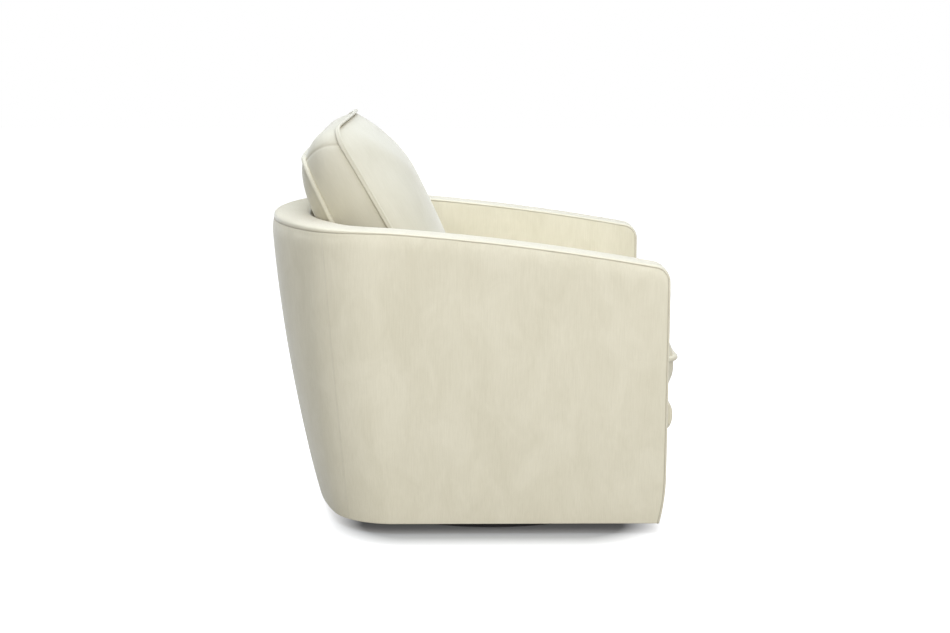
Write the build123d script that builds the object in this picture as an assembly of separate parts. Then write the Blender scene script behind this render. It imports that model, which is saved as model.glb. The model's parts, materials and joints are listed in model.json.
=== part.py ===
from build123d import *
import math
import os

# Barrel swivel chair: a padded tub that turns on a low round plinth, with a loose seat cushion and a
# loose back cushion. Millimetres, +Z up, origin on the swivel axis at the floor. The sitter faces -Y,
# and +X is the sitter's left.

# Tub plan at the hem, the waist and the rim
HEM_HEIGHT = 25
HEM_WIDTH = 738
HEM_REAR = 390
HEM_CORNER = 140
HEM_BACK_CURVE = 800
WAIST_HEIGHT = 300
WAIST_WIDTH = 772
WAIST_REAR = 448
WAIST_CORNER = 155
WAIST_BACK_CURVE = 640
RIM_WIDTH = 792
RIM_REAR = 490
RIM_CORNER = 165
RIM_BACK_CURVE = 560

# Side outline of the arms and rim
ARM_FRONT = 361
ARM_HEIGHT = 571
ARM_MIDDLE = 60
ARM_MIDDLE_HEIGHT = 632
RIM_HEIGHT = 659
ARM_CORNER = 30
TOE_SETBACK = 16
TOE_HEIGHT = 180
TUB_RISE = 12

# Make-up of the wall, from the outside in
OUTER_PAD = 10
FRAME_DEPTH = 46
INNER_PAD = 29
BAND = 12
FIT = 0.4
BOARD_EASE = 0.9
SEAM_HEM_REAR = 297
SEAM_RIM_REAR = 340
BAND_JOIN = 200

# Timber frame
SILL = 24
RAIL = 22
TOP_RAIL = 22
POST = 45
RIB = 24
RIB_COUNT = 3
RIB_SPACING = 120
CORNER_RIB_ANGLE = 50
RAIL_TOP = 250
RAIL_HEIGHT = 50
RAIL_LAP = 40
GLUE_BLOCK = 30
GLUE_BLOCK_LENGTH = 60
GLUE_BLOCK_COUNT = 4
GLUE_BLOCK_SPACING = 150

# Seat suspension and linings
SPRING_COUNT = 5
SPRING_SPACING = 105
SPRING_WIRE = 3.8
SPRING_RUNS = 25
SPRING_RUN = 30
CLIP_WIDTH = 22
CLIP_DEPTH = 12
CLIP_HEIGHT = 9
WIRE_FIT = 0.2
INSULATOR = 8.6
DECK_CLOTH = 2
STRAP_COUNT = 4
STRAP_WIDTH = 50
STRAP_SPACING = 110
STRAP = 2
DUST_COVER = 1.5
DUST_LIFT = 1
DUST_HOLE_MARGIN = 15

# Front border with its padded roll
BORDER_SETBACK = 4
BORDER_DEPTH = 25
ROLL_REACH = 384

# Base and swivel bearing
FELT = 3
FELT_MARGIN = 4
PLINTH_RADIUS = 325
PLINTH = 18
PLATE_RADIUS = 150
PLATE = 4
DECK_BOARD = 18
BALL = 12
BALL_COUNT = 24
RACE_RADIUS = 115
RACE_DEPTH = 1
RACE_FIT = 0.05
CAGE_WIDTH = 22
CAGE = 3
CAGE_FIT = 0.25
PIN = 16
PIN_HEAD = 32
PIN_HEAD_HEIGHT = 7
BUSH_WALL = 4
RUNNING_FIT = 0.1
END_FLOAT = 0.5
WASHER = 3
WASHER_RADIUS = 20
NUT_FLATS = 24
NUT_HEIGHT = 13
PIN_STANDOUT = 2
PIN_WELL_MARGIN = 8
SCREW_COUNT = 6
SCREW = 5
SCREW_CIRCLE = 80
SCREW_HEAD = 10
SCREW_HEAD_HEIGHT = 2.8
SCREW_GRIP = 12
BOLT_COUNT = 6
BOLT = 8
BOLT_CIRCLE = 138
BOLT_FLATS = 13
BOLT_HEAD_HEIGHT = 5.3
TEE_BARREL = 10
TEE_BARREL_LENGTH = 12
TEE_FLANGE = 20
TEE_FLANGE_HEIGHT = 1.5
HOLE_FIT = 0.1

# Loose cushions
CUSHION_FIT = 0.3
COVER = 8
WELT = 10
WELT_STAND = 2
CROWN_FLAT = 0.25
CROWN_STEPS = (0, 0.07, 0.25, 0.58, 1)
FULL_CROWN = (2.6, 1.6)
SHALLOW_CROWN = (2, 1)
SEAT_WIDTH = 582
SEAT_FRONT = 382
SEAT_REAR = 341
SEAT_FRONT_CORNER = 42
SEAT_REAR_CORNER = 110
SEAT_REAR_BELLY = 34
SEAT_DRAW = 6
SEAT_BOXING = 74
SEAT_CROWN = 62
SEAT_UNDER = 13
SEAT_UNDER_FLAT = 0.9
BACK_CORNER = 42
BACK_SIDE_DRAW = 7
BACK_FOOT_CORNER = 45
BACK_FRONT_WIDTH = 536
BACK_FRONT_HEIGHT = 455
BACK_FRONT_BELLY = 42
BACK_FRONT_LEAN = 29.4
BACK_FRONT_FOOT = 103
BACK_FRONT_RISE = 5.1
BACK_FRONT_CROWN = 90
BACK_REAR_WIDTH = 450
BACK_REAR_HEIGHT = 418
BACK_REAR_BELLY = 20
BACK_REAR_LEAN = 22.3
BACK_REAR_FOOT = 231
BACK_REAR_RISE = -11.2
BACK_REAR_CROWN = 60

# Places that follow from the sizes above
WALL = OUTER_PAD + FRAME_DEPTH + INNER_PAD
FRAME_OUT = OUTER_PAD + FIT
FRAME_SPLIT = FRAME_OUT + RAIL
SILL_INSET = OUTER_PAD + BOARD_EASE
SEAT_RAIL_INSET = OUTER_PAD + RAIL + BOARD_EASE
RAIL_FOOT = RAIL_TOP - RAIL_HEIGHT
FRAME_IN = OUTER_PAD + FRAME_DEPTH - FIT
SPARE = 40
TUB_TOP = RIM_HEIGHT + TUB_RISE
REACH = 2 * RIM_WIDTH
PLINTH_TOP = FELT + PLINTH
LOWER_PLATE_TOP = PLINTH_TOP + PLATE
BALL_HEIGHT = LOWER_PLATE_TOP + BALL / 2 - RACE_DEPTH
UPPER_PLATE_FOOT = LOWER_PLATE_TOP + BALL - 2 * RACE_DEPTH
BOARD_FOOT = UPPER_PLATE_FOOT + PLATE
BOARD_TOP = BOARD_FOOT + DECK_BOARD
DUST_FOOT = HEM_HEIGHT + DUST_LIFT
SILL_FOOT = DUST_FOOT + DUST_COVER
BORDER_REAR = BORDER_DEPTH - ARM_FRONT
FRONT_RAIL_REAR = BORDER_REAR + RAIL
POST_REAR = BAND + POST - ARM_FRONT
WIRE_HEIGHT = RAIL_TOP + CLIP_HEIGHT / 2
INSULATOR_FOOT = RAIL_TOP + CLIP_HEIGHT + FIT
CLOTH_FOOT = INSULATOR_FOOT + INSULATOR
DECK_TOP = CLOTH_FOOT + DECK_CLOTH
SEAT_FOOT = DECK_TOP + CUSHION_FIT + SEAT_UNDER
SEAT_TOP = SEAT_FOOT + SEAT_BOXING + SEAT_CROWN


def slab(x=(-REACH, REACH), y=(-REACH, REACH), z=(-REACH, REACH)):
    """Box between the given limits, open to the far reach where a limit is left out."""
    size = (x[1] - x[0], y[1] - y[0], z[1] - z[0])
    middle = ((x[0] + x[1]) / 2, (y[0] + y[1]) / 2, (z[0] + z[1]) / 2)
    return Pos(*middle) * Box(*size)


def rod(radius, foot, top, place=(0, 0)):
    """Upright cylinder between two heights."""
    return Pos(place[0], place[1], (foot + top) / 2) * Cylinder(radius, top - foot)


def hexagon(flats, foot, top, place=(0, 0)):
    """Upright hexagon bar between two heights, sized across its flats."""
    outline = RegularPolygon(flats / 2, 6, major_radius=False)
    return Pos(place[0], place[1], foot) * extrude(outline, top - foot)


def ring_of(count, radius):
    """Places evenly spaced on a circle about the swivel axis."""
    angles = [2 * math.pi * index / count for index in range(count)]
    return [(radius * math.cos(angle), radius * math.sin(angle)) for angle in angles]


def row_of(count, spacing):
    """Offsets of an evenly spaced row about its middle."""
    return [spacing * (index - (count - 1) / 2) for index in range(count)]


def plan_sizes(inset):
    """Half width, rear, corner radius and back radius of the tub plan, at the hem, waist and rim."""
    hem = (HEM_WIDTH / 2, HEM_REAR, HEM_CORNER, HEM_BACK_CURVE)
    waist = (WAIST_WIDTH / 2, WAIST_REAR, WAIST_CORNER, WAIST_BACK_CURVE)
    rim = (RIM_WIDTH / 2, RIM_REAR, RIM_CORNER, RIM_BACK_CURVE)
    return [[size - inset for size in level] for level in (hem, waist, rim)]


def plan_face(half_width, rear, corner, back_curve):
    """Tub plan: straight sides, a round corner on each side and one shallow arc across the back."""
    arc_y = rear - back_curve
    corner_x = half_width - corner
    corner_y = arc_y + math.sqrt((back_curve - corner) ** 2 - corner_x ** 2)
    join_angle = math.atan2(corner_y - arc_y, corner_x)
    join = (back_curve * math.cos(join_angle), arc_y + back_curve * math.sin(join_angle))
    bend_x = corner_x + corner * math.cos(join_angle / 2)
    bend_y = corner_y + corner * math.sin(join_angle / 2)
    front = -(ARM_FRONT + SPARE)
    outline = [
        Line((half_width, front), (half_width, corner_y)),
        ThreePointArc((half_width, corner_y), (bend_x, bend_y), join),
        ThreePointArc(join, (0, rear), (-join[0], join[1])),
        ThreePointArc((-join[0], join[1]), (-bend_x, bend_y), (-half_width, corner_y)),
        Line((-half_width, corner_y), (-half_width, front)),
        Line((-half_width, front), (half_width, front)),
    ]
    return make_face(outline)


def tub(inset):
    """Solid tub, drawn in by the inset all round, from the hem to above the rim."""
    levels = zip((HEM_HEIGHT, WAIST_HEIGHT, TUB_TOP), plan_sizes(inset))
    return loft([Pos(0, 0, height) * plan_face(*sizes) for height, sizes in levels])


def plan_at(level, inset):
    """Plan sizes at any height, on the parabola through the hem, waist and rim sizes."""
    low, middle, high = HEM_HEIGHT, WAIST_HEIGHT, TUB_TOP
    hem_share = (level - middle) * (level - high) / ((low - middle) * (low - high))
    waist_share = (level - low) * (level - high) / ((middle - low) * (middle - high))
    rim_share = (level - low) * (level - middle) / ((high - low) * (high - middle))
    levels = zip(*plan_sizes(inset))
    return [hem * hem_share + waist * waist_share + rim * rim_share for hem, waist, rim in levels]


def board(level, inset, foot, top):
    """Square-edged board cut to the tub plan at one level, drawn in by the inset."""
    return Pos(0, 0, foot) * extrude(plan_face(*plan_at(level, inset)), top - foot)


def layer(outer_inset, inner_inset):
    """Part of the tub wall between two insets."""
    return tub(outer_inset) - tub(inner_inset)


def rim_face(drop):
    """Side view of everything under the rim line, lowered by the drop."""
    front = (-ARM_FRONT, ARM_HEIGHT - drop)
    middle = (ARM_MIDDLE, ARM_MIDDLE_HEIGHT - drop)
    rear = (RIM_REAR, RIM_HEIGHT - drop)
    ahead = -(ARM_FRONT + SPARE)
    behind = RIM_REAR + SPARE
    outline = [
        Line((ahead, -SPARE), (ahead, front[1])),
        Line((ahead, front[1]), front),
        ThreePointArc(front, middle, rear),
        Line(rear, (behind, rear[1])),
        Line((behind, rear[1]), (behind, -SPARE)),
        Line((behind, -SPARE), (ahead, -SPARE)),
    ]
    return make_face(outline)


def across(face):
    """Side view carried through the whole width of the chair."""
    return extrude(Plane.YZ * face, REACH, both=True)


def under_rim(drop):
    """Everything under the rim line, lowered by the drop."""
    return across(rim_face(drop))


def arm_face(inset):
    """Side view of the body: toe, upright arm front, round corner and rim line, drawn in by the inset."""
    front = inset - ARM_FRONT
    toe = (front, HEM_HEIGHT + TOE_HEIGHT)
    hem = (front + TOE_SETBACK, HEM_HEIGHT)
    behind = RIM_REAR + SPARE
    top = RIM_HEIGHT + SPARE
    outline = [
        TangentArc(toe, hem, tangent=(0, -1)),
        Line(hem, (behind, HEM_HEIGHT)),
        Line((behind, HEM_HEIGHT), (behind, top)),
        Line((behind, top), (front, top)),
        Line((front, top), toe),
    ]
    face = make_face(outline) & rim_face(inset)
    front_edge = face.vertices().group_by(Axis.X)[0]
    return fillet(front_edge.sort_by(Axis.Y)[-1], ARM_CORNER - inset)


def arm_side(inset):
    """Body seen from the side, carried through the whole width."""
    return across(arm_face(inset))


def back_zone(shift):
    """Everything behind the upright seam between the outside arm and the outside back."""
    behind = RIM_REAR + SPARE
    corners = [
        (SEAM_HEM_REAR + shift, HEM_HEIGHT),
        (SEAM_RIM_REAR + shift, TUB_TOP),
        (behind, TUB_TOP),
        (behind, HEM_HEIGHT),
    ]
    return across(make_face(Polyline(*corners, close=True)))


def side_pair(shape):
    """Left and right halves of a symmetric shape."""
    return shape & slab(x=(0, REACH)), shape & slab(x=(-REACH, 0))


def rim_bands():
    """Padded band over the arms and back, running down the arm fronts."""
    band = layer(0, WALL) & (arm_side(0) - arm_side(BAND))
    left, right = side_pair(band & slab(y=(-REACH, BAND_JOIN)))
    back = band & slab(y=(BAND_JOIN + FIT, REACH))
    return {"arm_band_left": left, "arm_band_right": right, "back_band": back}


def outside_panels():
    """Padded outer skins, split at the upright seams."""
    skin = layer(0, OUTER_PAD) & arm_side(BAND + FIT)
    left, right = side_pair(skin - back_zone(0))
    back = skin & back_zone(FIT)
    return {"outside_arm_left": left, "outside_arm_right": right, "outside_back": back}


def inside_pads():
    """Inner pads of the arms and the back, from the seat deck to the rim band."""
    pad = layer(WALL - INNER_PAD, WALL) & arm_side(BAND + FIT) & slab(z=(INSULATOR_FOOT, REACH))
    left, right = side_pair(pad & slab(y=(-REACH, BAND_JOIN)))
    back = pad & slab(y=(BAND_JOIN + FIT, REACH))
    return {"inside_arm_left": left, "inside_arm_right": right, "inside_back": back}


def front_border():
    """Front border between the arms, with a padded roll along its top."""
    front = BORDER_SETBACK - ARM_FRONT
    toe = (front, HEM_HEIGHT + TOE_HEIGHT)
    hem = (front + TOE_SETBACK, HEM_HEIGHT)
    crest = (-ROLL_REACH, (toe[1] + DECK_TOP) / 2)
    outline = [
        TangentArc(toe, hem, tangent=(0, -1)),
        Line(hem, (BORDER_REAR, HEM_HEIGHT)),
        Line((BORDER_REAR, HEM_HEIGHT), (BORDER_REAR, DECK_TOP)),
        Line((BORDER_REAR, DECK_TOP), (front, DECK_TOP)),
        ThreePointArc((front, DECK_TOP), crest, toe),
    ]
    return {"front_border": across(make_face(outline)) & tub(WALL + FIT)}


def sills():
    """Bottom boards that carry the posts and ribs."""
    ring = board(SILL_FOOT, SILL_INSET, SILL_FOOT, BOARD_TOP)
    ring -= board(SILL_FOOT, SILL_INSET + SILL, SILL_FOOT, BOARD_TOP)
    ring &= arm_side(BAND + FIT)
    left, right = side_pair(ring & slab(y=(-REACH, BAND_JOIN)))
    back = ring & slab(y=(BAND_JOIN, REACH))
    return {"sill_left": left, "sill_right": right, "sill_back": back}


def deck_board():
    """Plywood board that carries the frame on the swivel plate."""
    deck = board(SILL_FOOT, SILL_INSET + SILL + FIT, BOARD_FOOT, BOARD_TOP)
    deck &= slab(y=(FRONT_RAIL_REAR, REACH))
    deck -= rod(WASHER_RADIUS + PIN_WELL_MARGIN, BOARD_FOOT, BOARD_TOP)
    for place in ring_of(BOLT_COUNT, BOLT_CIRCLE):
        deck -= rod(BOLT / 2 + HOLE_FIT, BOARD_FOOT, BOARD_TOP, place)
        deck -= rod(TEE_BARREL / 2 + HOLE_FIT, BOARD_TOP - TEE_BARREL_LENGTH, BOARD_TOP, place)
    return {"deck_board": deck}


def front_rail():
    """Upright board between the arm posts, behind the front border."""
    rail = tub(OUTER_PAD + FRAME_DEPTH)
    rail &= slab(y=(BORDER_REAR, FRONT_RAIL_REAR), z=(SILL_FOOT, RAIL_TOP))
    rail &= arm_side(BAND + FIT)
    return {"front_rail": rail}


def glue_blocks():
    """Three-cornered blocks in the angle of the front rail and the deck board."""
    rear = FRONT_RAIL_REAR
    corners = [(rear, BOARD_TOP), (rear + GLUE_BLOCK, BOARD_TOP), (rear, BOARD_TOP + GLUE_BLOCK)]
    wedge = extrude(Plane.YZ * make_face(Polyline(*corners, close=True)), GLUE_BLOCK_LENGTH / 2, both=True)
    blocks = [Pos(x, 0, 0) * wedge for x in row_of(GLUE_BLOCK_COUNT, GLUE_BLOCK_SPACING)]
    return {"glue_blocks": Part() + blocks}


def arm_frame():
    """Arm posts, the sloping rails on top of them and the curved rail behind."""
    core = layer(FRAME_OUT, FRAME_IN) & arm_side(BAND + FIT)
    rail_foot = BAND + TOP_RAIL + FIT
    post = core & under_rim(rail_foot + FIT) & slab(y=(-REACH, POST_REAR), z=(BOARD_TOP, REACH))
    rail = (core - under_rim(rail_foot)) & slab(z=(RAIL_TOP, REACH))
    post_left, post_right = side_pair(post)
    rail_left, rail_right = side_pair(rail & slab(y=(-REACH, BAND_JOIN)))
    return {
        "arm_post_left": post_left,
        "arm_post_right": post_right,
        "arm_rail_left": rail_left,
        "arm_rail_right": rail_right,
        "back_top_rail": rail & slab(y=(BAND_JOIN, REACH)),
    }


def seat_rails():
    """Side rails behind the arm posts and the curved rail that holds the springs at the back."""
    outer = board(RAIL_FOOT, SILL_INSET, RAIL_FOOT, RAIL_TOP)
    outer -= board(RAIL_FOOT, SEAT_RAIL_INSET - FIT, RAIL_FOOT, RAIL_TOP)
    inner = board(RAIL_FOOT, SEAT_RAIL_INSET, RAIL_FOOT, RAIL_TOP)
    inner -= board(RAIL_FOOT, SEAT_RAIL_INSET + RAIL, RAIL_FOOT, RAIL_TOP)
    left, right = side_pair(outer & slab(y=(POST_REAR, BAND_JOIN)))
    rear = inner & slab(y=(BAND_JOIN - RAIL_LAP, REACH))
    return {"side_rail_left": left, "side_rail_right": right, "seat_back_rail": rear}


def back_ribs():
    """Upright ribs round the back, from the sill to the curved top rail."""
    room = layer(FRAME_OUT, FRAME_SPLIT) & under_rim(BAND + TOP_RAIL + 2 * FIT)
    room &= slab(y=(BAND_JOIN, REACH), z=(BOARD_TOP, REACH))
    plate = slab(x=(-RIB / 2, RIB / 2), y=(0, REACH))
    ribs = [Pos(x, 0, 0) * plate for x in row_of(RIB_COUNT, RIB_SPACING)]
    ribs += [Rot(0, 0, turn) * plate for turn in (CORNER_RIB_ANGLE, -CORNER_RIB_ANGLE)]
    return {"back_ribs": Part() + [room & rib for rib in ribs]}


def seat_rail_line(x):
    """Rear reach of the middle of the seat back rail at an offset from the chair's middle."""
    half_width, rear, corner, back_curve = plan_at(RAIL_FOOT, SEAT_RAIL_INSET + RAIL / 2)
    return rear - back_curve + math.sqrt(back_curve ** 2 - x ** 2)


def spring_rows():
    """Place of each seat spring: its offset, its front anchor and its rear anchor."""
    front = (BORDER_REAR + FRONT_RAIL_REAR) / 2
    return [(x, front, seat_rail_line(x)) for x in row_of(SPRING_COUNT, SPRING_SPACING)]


def sinuous_spring(x, front, rear):
    """Flat zigzag wire: straight runs across the chair joined by half turns."""
    pitch = (rear - front) / (SPRING_RUNS - 1)
    edges = []
    for index in range(SPRING_RUNS):
        side = SPRING_RUN / 2 if index % 2 == 0 else -SPRING_RUN / 2
        y = front + index * pitch
        edges.append(Line((x - side, y), (x + side, y)))
        if index < SPRING_RUNS - 1:
            bend = x + side + math.copysign(pitch / 2, side)
            edges.append(ThreePointArc((x + side, y), (bend, y + pitch / 2), (x + side, y + pitch)))
    path = Wire(edges)
    section = Plane(origin=path @ 0, z_dir=path % 0) * Circle(SPRING_WIRE / 2)
    return Pos(0, 0, WIRE_HEIGHT) * sweep(section, path=path)


def spring_clip(x, y):
    """Block clip on a rail, bored across for the end run of a spring."""
    block = Pos(x, y, WIRE_HEIGHT) * Box(CLIP_WIDTH, CLIP_DEPTH, CLIP_HEIGHT)
    bore = Pos(x, y, WIRE_HEIGHT) * Rot(0, 90, 0) * Cylinder(SPRING_WIRE / 2 + WIRE_FIT, REACH)
    return block - bore


def seat_suspension():
    """Springs between the front rail and the seat back rail, with a clip at each end."""
    springs = [sinuous_spring(*row) for row in spring_rows()]
    clips = [spring_clip(x, y) for x, front, rear in spring_rows() for y in (front, rear)]
    return {"seat_springs": Part() + springs, "spring_clips": Part() + clips}


def seat_linings():
    """Insulator felt over the springs and the deck cloth over the felt."""
    well = slab(y=(BORDER_REAR, REACH))
    felt = well & board(INSULATOR_FOOT, WALL + BOARD_EASE, INSULATOR_FOOT, CLOTH_FOOT)
    cloth = well & board(INSULATOR_FOOT, WALL + BOARD_EASE, CLOTH_FOOT, DECK_TOP)
    return {"spring_insulator": felt, "deck_cloth": cloth}


def back_webbing():
    """Elastic straps from the seat back rail to the curved top rail."""
    room = layer(FRAME_IN - STRAP, FRAME_IN) & under_rim(BAND + TOP_RAIL + 2 * FIT)
    room &= slab(y=(BAND_JOIN, REACH), z=(RAIL_TOP, REACH))
    half = STRAP_WIDTH / 2
    straps = [room & slab(x=(x - half, x + half)) for x in row_of(STRAP_COUNT, STRAP_SPACING)]
    return {"back_webbing": Part() + straps}


def dust_cover():
    """Cloth under the frame, open round the swivel plate."""
    cloth = board(DUST_FOOT, SILL_INSET, DUST_FOOT, SILL_FOOT) & arm_side(BAND + FIT)
    return {"dust_cover": cloth - rod(PLATE_RADIUS + DUST_HOLE_MARGIN, DUST_FOOT, SILL_FOOT)}


def base():
    """Round plinth on a felt disc, bored for the king pin and the plate screws."""
    felt = rod(PLINTH_RADIUS - FELT_MARGIN, 0, FELT)
    plinth = rod(PLINTH_RADIUS, FELT, PLINTH_TOP)
    plinth -= rod(PIN / 2 + HOLE_FIT, FELT, PLINTH_TOP)
    plinth -= rod(PIN_HEAD / 2 + HOLE_FIT, FELT, FELT + PIN_HEAD_HEIGHT)
    for place in ring_of(SCREW_COUNT, SCREW_CIRCLE):
        plinth -= rod(SCREW / 2 + HOLE_FIT, PLINTH_TOP - SCREW_GRIP, PLINTH_TOP, place)
    return {"floor_felt": felt, "base_plinth": plinth}


def swivel_plates():
    """Steel plates with a ball groove each; the lower one is screwed down, the upper one turns."""
    groove = Pos(0, 0, BALL_HEIGHT) * Torus(RACE_RADIUS, BALL / 2 + RACE_FIT)
    lower = rod(PLATE_RADIUS, PLINTH_TOP, LOWER_PLATE_TOP) - groove
    lower -= rod(PIN / 2 + HOLE_FIT, PLINTH_TOP, LOWER_PLATE_TOP)
    for place in ring_of(SCREW_COUNT, SCREW_CIRCLE):
        lower -= rod(SCREW / 2 + HOLE_FIT, PLINTH_TOP, LOWER_PLATE_TOP, place)
    upper = rod(PLATE_RADIUS, UPPER_PLATE_FOOT, BOARD_FOOT) - groove
    upper -= rod(PIN / 2 + BUSH_WALL + RUNNING_FIT, UPPER_PLATE_FOOT, BOARD_FOOT)
    for place in ring_of(BOLT_COUNT, BOLT_CIRCLE):
        upper -= rod(BOLT / 2 + HOLE_FIT, UPPER_PLATE_FOOT, BOARD_FOOT, place)
    return {"swivel_lower_plate": lower, "swivel_upper_plate": upper}


def ball_race():
    """Balls on one circle, spaced by a flat cage ring."""
    cage = rod(RACE_RADIUS + CAGE_WIDTH / 2, BALL_HEIGHT - CAGE / 2, BALL_HEIGHT + CAGE / 2)
    cage -= rod(RACE_RADIUS - CAGE_WIDTH / 2, BALL_HEIGHT - CAGE / 2, BALL_HEIGHT + CAGE / 2)
    balls = []
    for x, y in ring_of(BALL_COUNT, RACE_RADIUS):
        cage -= rod(BALL / 2 + CAGE_FIT, BALL_HEIGHT - CAGE, BALL_HEIGHT + CAGE, (x, y))
        balls.append(Pos(x, y, BALL_HEIGHT) * Sphere(BALL / 2))
    return {"ball_cage": cage, "bearing_balls": Part() + balls}


def king_pin():
    """Headed pin up through the plates, with a spacer bush, a washer and a nut."""
    bush_top = BOARD_FOOT + END_FLOAT
    nut_foot = bush_top + WASHER
    nut_top = nut_foot + NUT_HEIGHT
    pin = rod(PIN_HEAD / 2, FELT, FELT + PIN_HEAD_HEIGHT)
    pin += rod(PIN / 2, FELT + PIN_HEAD_HEIGHT, nut_top + PIN_STANDOUT)
    bore = rod(PIN / 2 + HOLE_FIT, PLINTH_TOP, nut_top)
    return {
        "king_pin": pin,
        "pivot_bush": rod(PIN / 2 + BUSH_WALL, LOWER_PLATE_TOP, bush_top) - bore,
        "pivot_washer": rod(WASHER_RADIUS, bush_top, nut_foot) - bore,
        "pivot_nut": hexagon(NUT_FLATS, nut_foot, nut_top) - bore,
    }


def plate_fasteners():
    """Wood screws of the lower plate, bolts of the upper plate and the tee nuts that take them."""
    screws = []
    for place in ring_of(SCREW_COUNT, SCREW_CIRCLE):
        head = rod(SCREW_HEAD / 2, LOWER_PLATE_TOP, LOWER_PLATE_TOP + SCREW_HEAD_HEIGHT, place)
        screws.append(head + rod(SCREW / 2, PLINTH_TOP - SCREW_GRIP, LOWER_PLATE_TOP, place))
    bolts = []
    nuts = []
    for place in ring_of(BOLT_COUNT, BOLT_CIRCLE):
        head = hexagon(BOLT_FLATS, UPPER_PLATE_FOOT - BOLT_HEAD_HEIGHT, UPPER_PLATE_FOOT, place)
        bolts.append(head + rod(BOLT / 2, UPPER_PLATE_FOOT, BOARD_TOP, place))
        barrel = rod(TEE_BARREL / 2, BOARD_TOP - TEE_BARREL_LENGTH, BOARD_TOP, place)
        flange = rod(TEE_FLANGE / 2, BOARD_TOP, BOARD_TOP + TEE_FLANGE_HEIGHT, place)
        bore = rod(BOLT / 2 + HOLE_FIT, BOARD_FOOT, BOARD_TOP + TEE_FLANGE_HEIGHT, place)
        nuts.append(barrel + flange - bore)
    return {
        "plinth_screws": Part() + screws,
        "frame_bolts": Part() + bolts,
        "tee_nuts": Part() + nuts,
    }


def soft_face(corners, draws, inset=0.0, share=1.0):
    """Flat outline with round corners whose sides are shallow arcs.

    Each corner is its centre and radius, in anticlockwise order. A side's draw is how far its middle
    lies inside the straight line, and a negative draw bellies out. The outline is drawn in by the inset
    and then shrunk to a share of its size about its middle.
    """
    count = len(corners)
    middle = sum((Vector(x, y) for x, y, radius in corners), Vector()) / count
    centres = [Vector(x, y) for x, y, radius in corners]
    centres = [middle + (centre - middle) * share for centre in centres]
    radii = [(radius - inset) * share for x, y, radius in corners]
    sides = []
    for index, draw in enumerate(draws):
        after = (index + 1) % count
        span = centres[after] - centres[index]
        turn = math.copysign(1, draw)
        half_span = span.length / share / 2
        mean_radius = (corners[index][2] + corners[after][2]) / 2
        bow = (half_span ** 2 + draw ** 2) / (2 * abs(draw)) - turn * (mean_radius - inset)
        near = bow * share + turn * radii[index]
        far = bow * share + turn * radii[after]
        along = (near ** 2 - far ** 2 + span.length ** 2) / (2 * span.length)
        out = turn * math.sqrt(near ** 2 - along ** 2)
        direction = span.normalized()
        hub = centres[index] + direction * along + Vector(direction.Y, -direction.X) * out
        start = centres[index] + (hub - centres[index]).normalized() * (turn * radii[index])
        end = centres[after] + (hub - centres[after]).normalized() * (turn * radii[after])
        crest = hub + ((start + end) / 2 - hub).normalized() * (bow * share)
        sides.append((start, crest, end))
    edges = []
    for index, (start, crest, end) in enumerate(sides):
        after = (index + 1) % count
        leave = sides[after][0]
        bisector = (end - centres[after]) + (leave - centres[after])
        bend = centres[after] + bisector.normalized() * radii[after]
        edges.append(ThreePointArc(start, crest, end))
        edges.append(ThreePointArc(end, bend, leave))
    return make_face(edges)


def crown(outline, plane, height, flat, profile, inset):
    """Domed cap on an outline: it shrinks to its flat share while it climbs to the height."""
    fullness, roundness = profile
    sections = []
    for step in CROWN_STEPS:
        share = 1 - step * (1 - flat)
        rise = height * (1 - (1 - step) ** fullness) ** (1 / roundness)
        sections.append(plane.offset(rise) * soft_face(*outline, inset, share))
    return loft(sections)


class Cushion:
    """Boxed cushion: a face outline and a crown on each of two planes, with boxing between them."""

    def __init__(self, front, front_plane, front_crown, rear, rear_plane, rear_crown):
        """Each crown is its height, the share of the face that stays flat and its profile powers."""
        self.front = front
        self.front_plane = front_plane
        self.front_crown = front_crown
        self.rear = rear
        self.rear_plane = rear_plane
        self.rear_crown = rear_crown

    def solid(self, inset):
        """Whole cushion, drawn in by the inset on every side."""
        front_plane = self.front_plane.offset(-inset)
        rear_plane = self.rear_plane.offset(inset)
        faces = [rear_plane * soft_face(*self.rear, inset), front_plane * soft_face(*self.front, inset)]
        body = loft(faces, ruled=True)
        body += crown(self.front, front_plane, *self.front_crown, inset)
        body += crown(self.rear, rear_plane, *self.rear_crown, inset)
        return body

    def welt(self, outline, plane, radius):
        """Corded edge round one face."""
        path = (plane * soft_face(*outline, -WELT_STAND)).face().outer_wire()
        section = Plane(origin=path @ 0, z_dir=path % 0) * Circle(radius)
        return sweep(section, path=path)

    def pieces(self, name, front_name, rear_name):
        """Cover, core and the two welts as separate solids."""
        cover = self.solid(0) - self.solid(COVER)
        for outline, plane in ((self.front, self.front_plane), (self.rear, self.rear_plane)):
            cover -= self.welt(outline, plane, WELT / 2 + FIT)
        return {
            name + "_cover": cover,
            name + "_core": self.solid(COVER + FIT),
            name + "_" + front_name: self.welt(self.front, self.front_plane, WELT / 2),
            name + "_" + rear_name: self.welt(self.rear, self.rear_plane, WELT / 2),
        }


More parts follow.
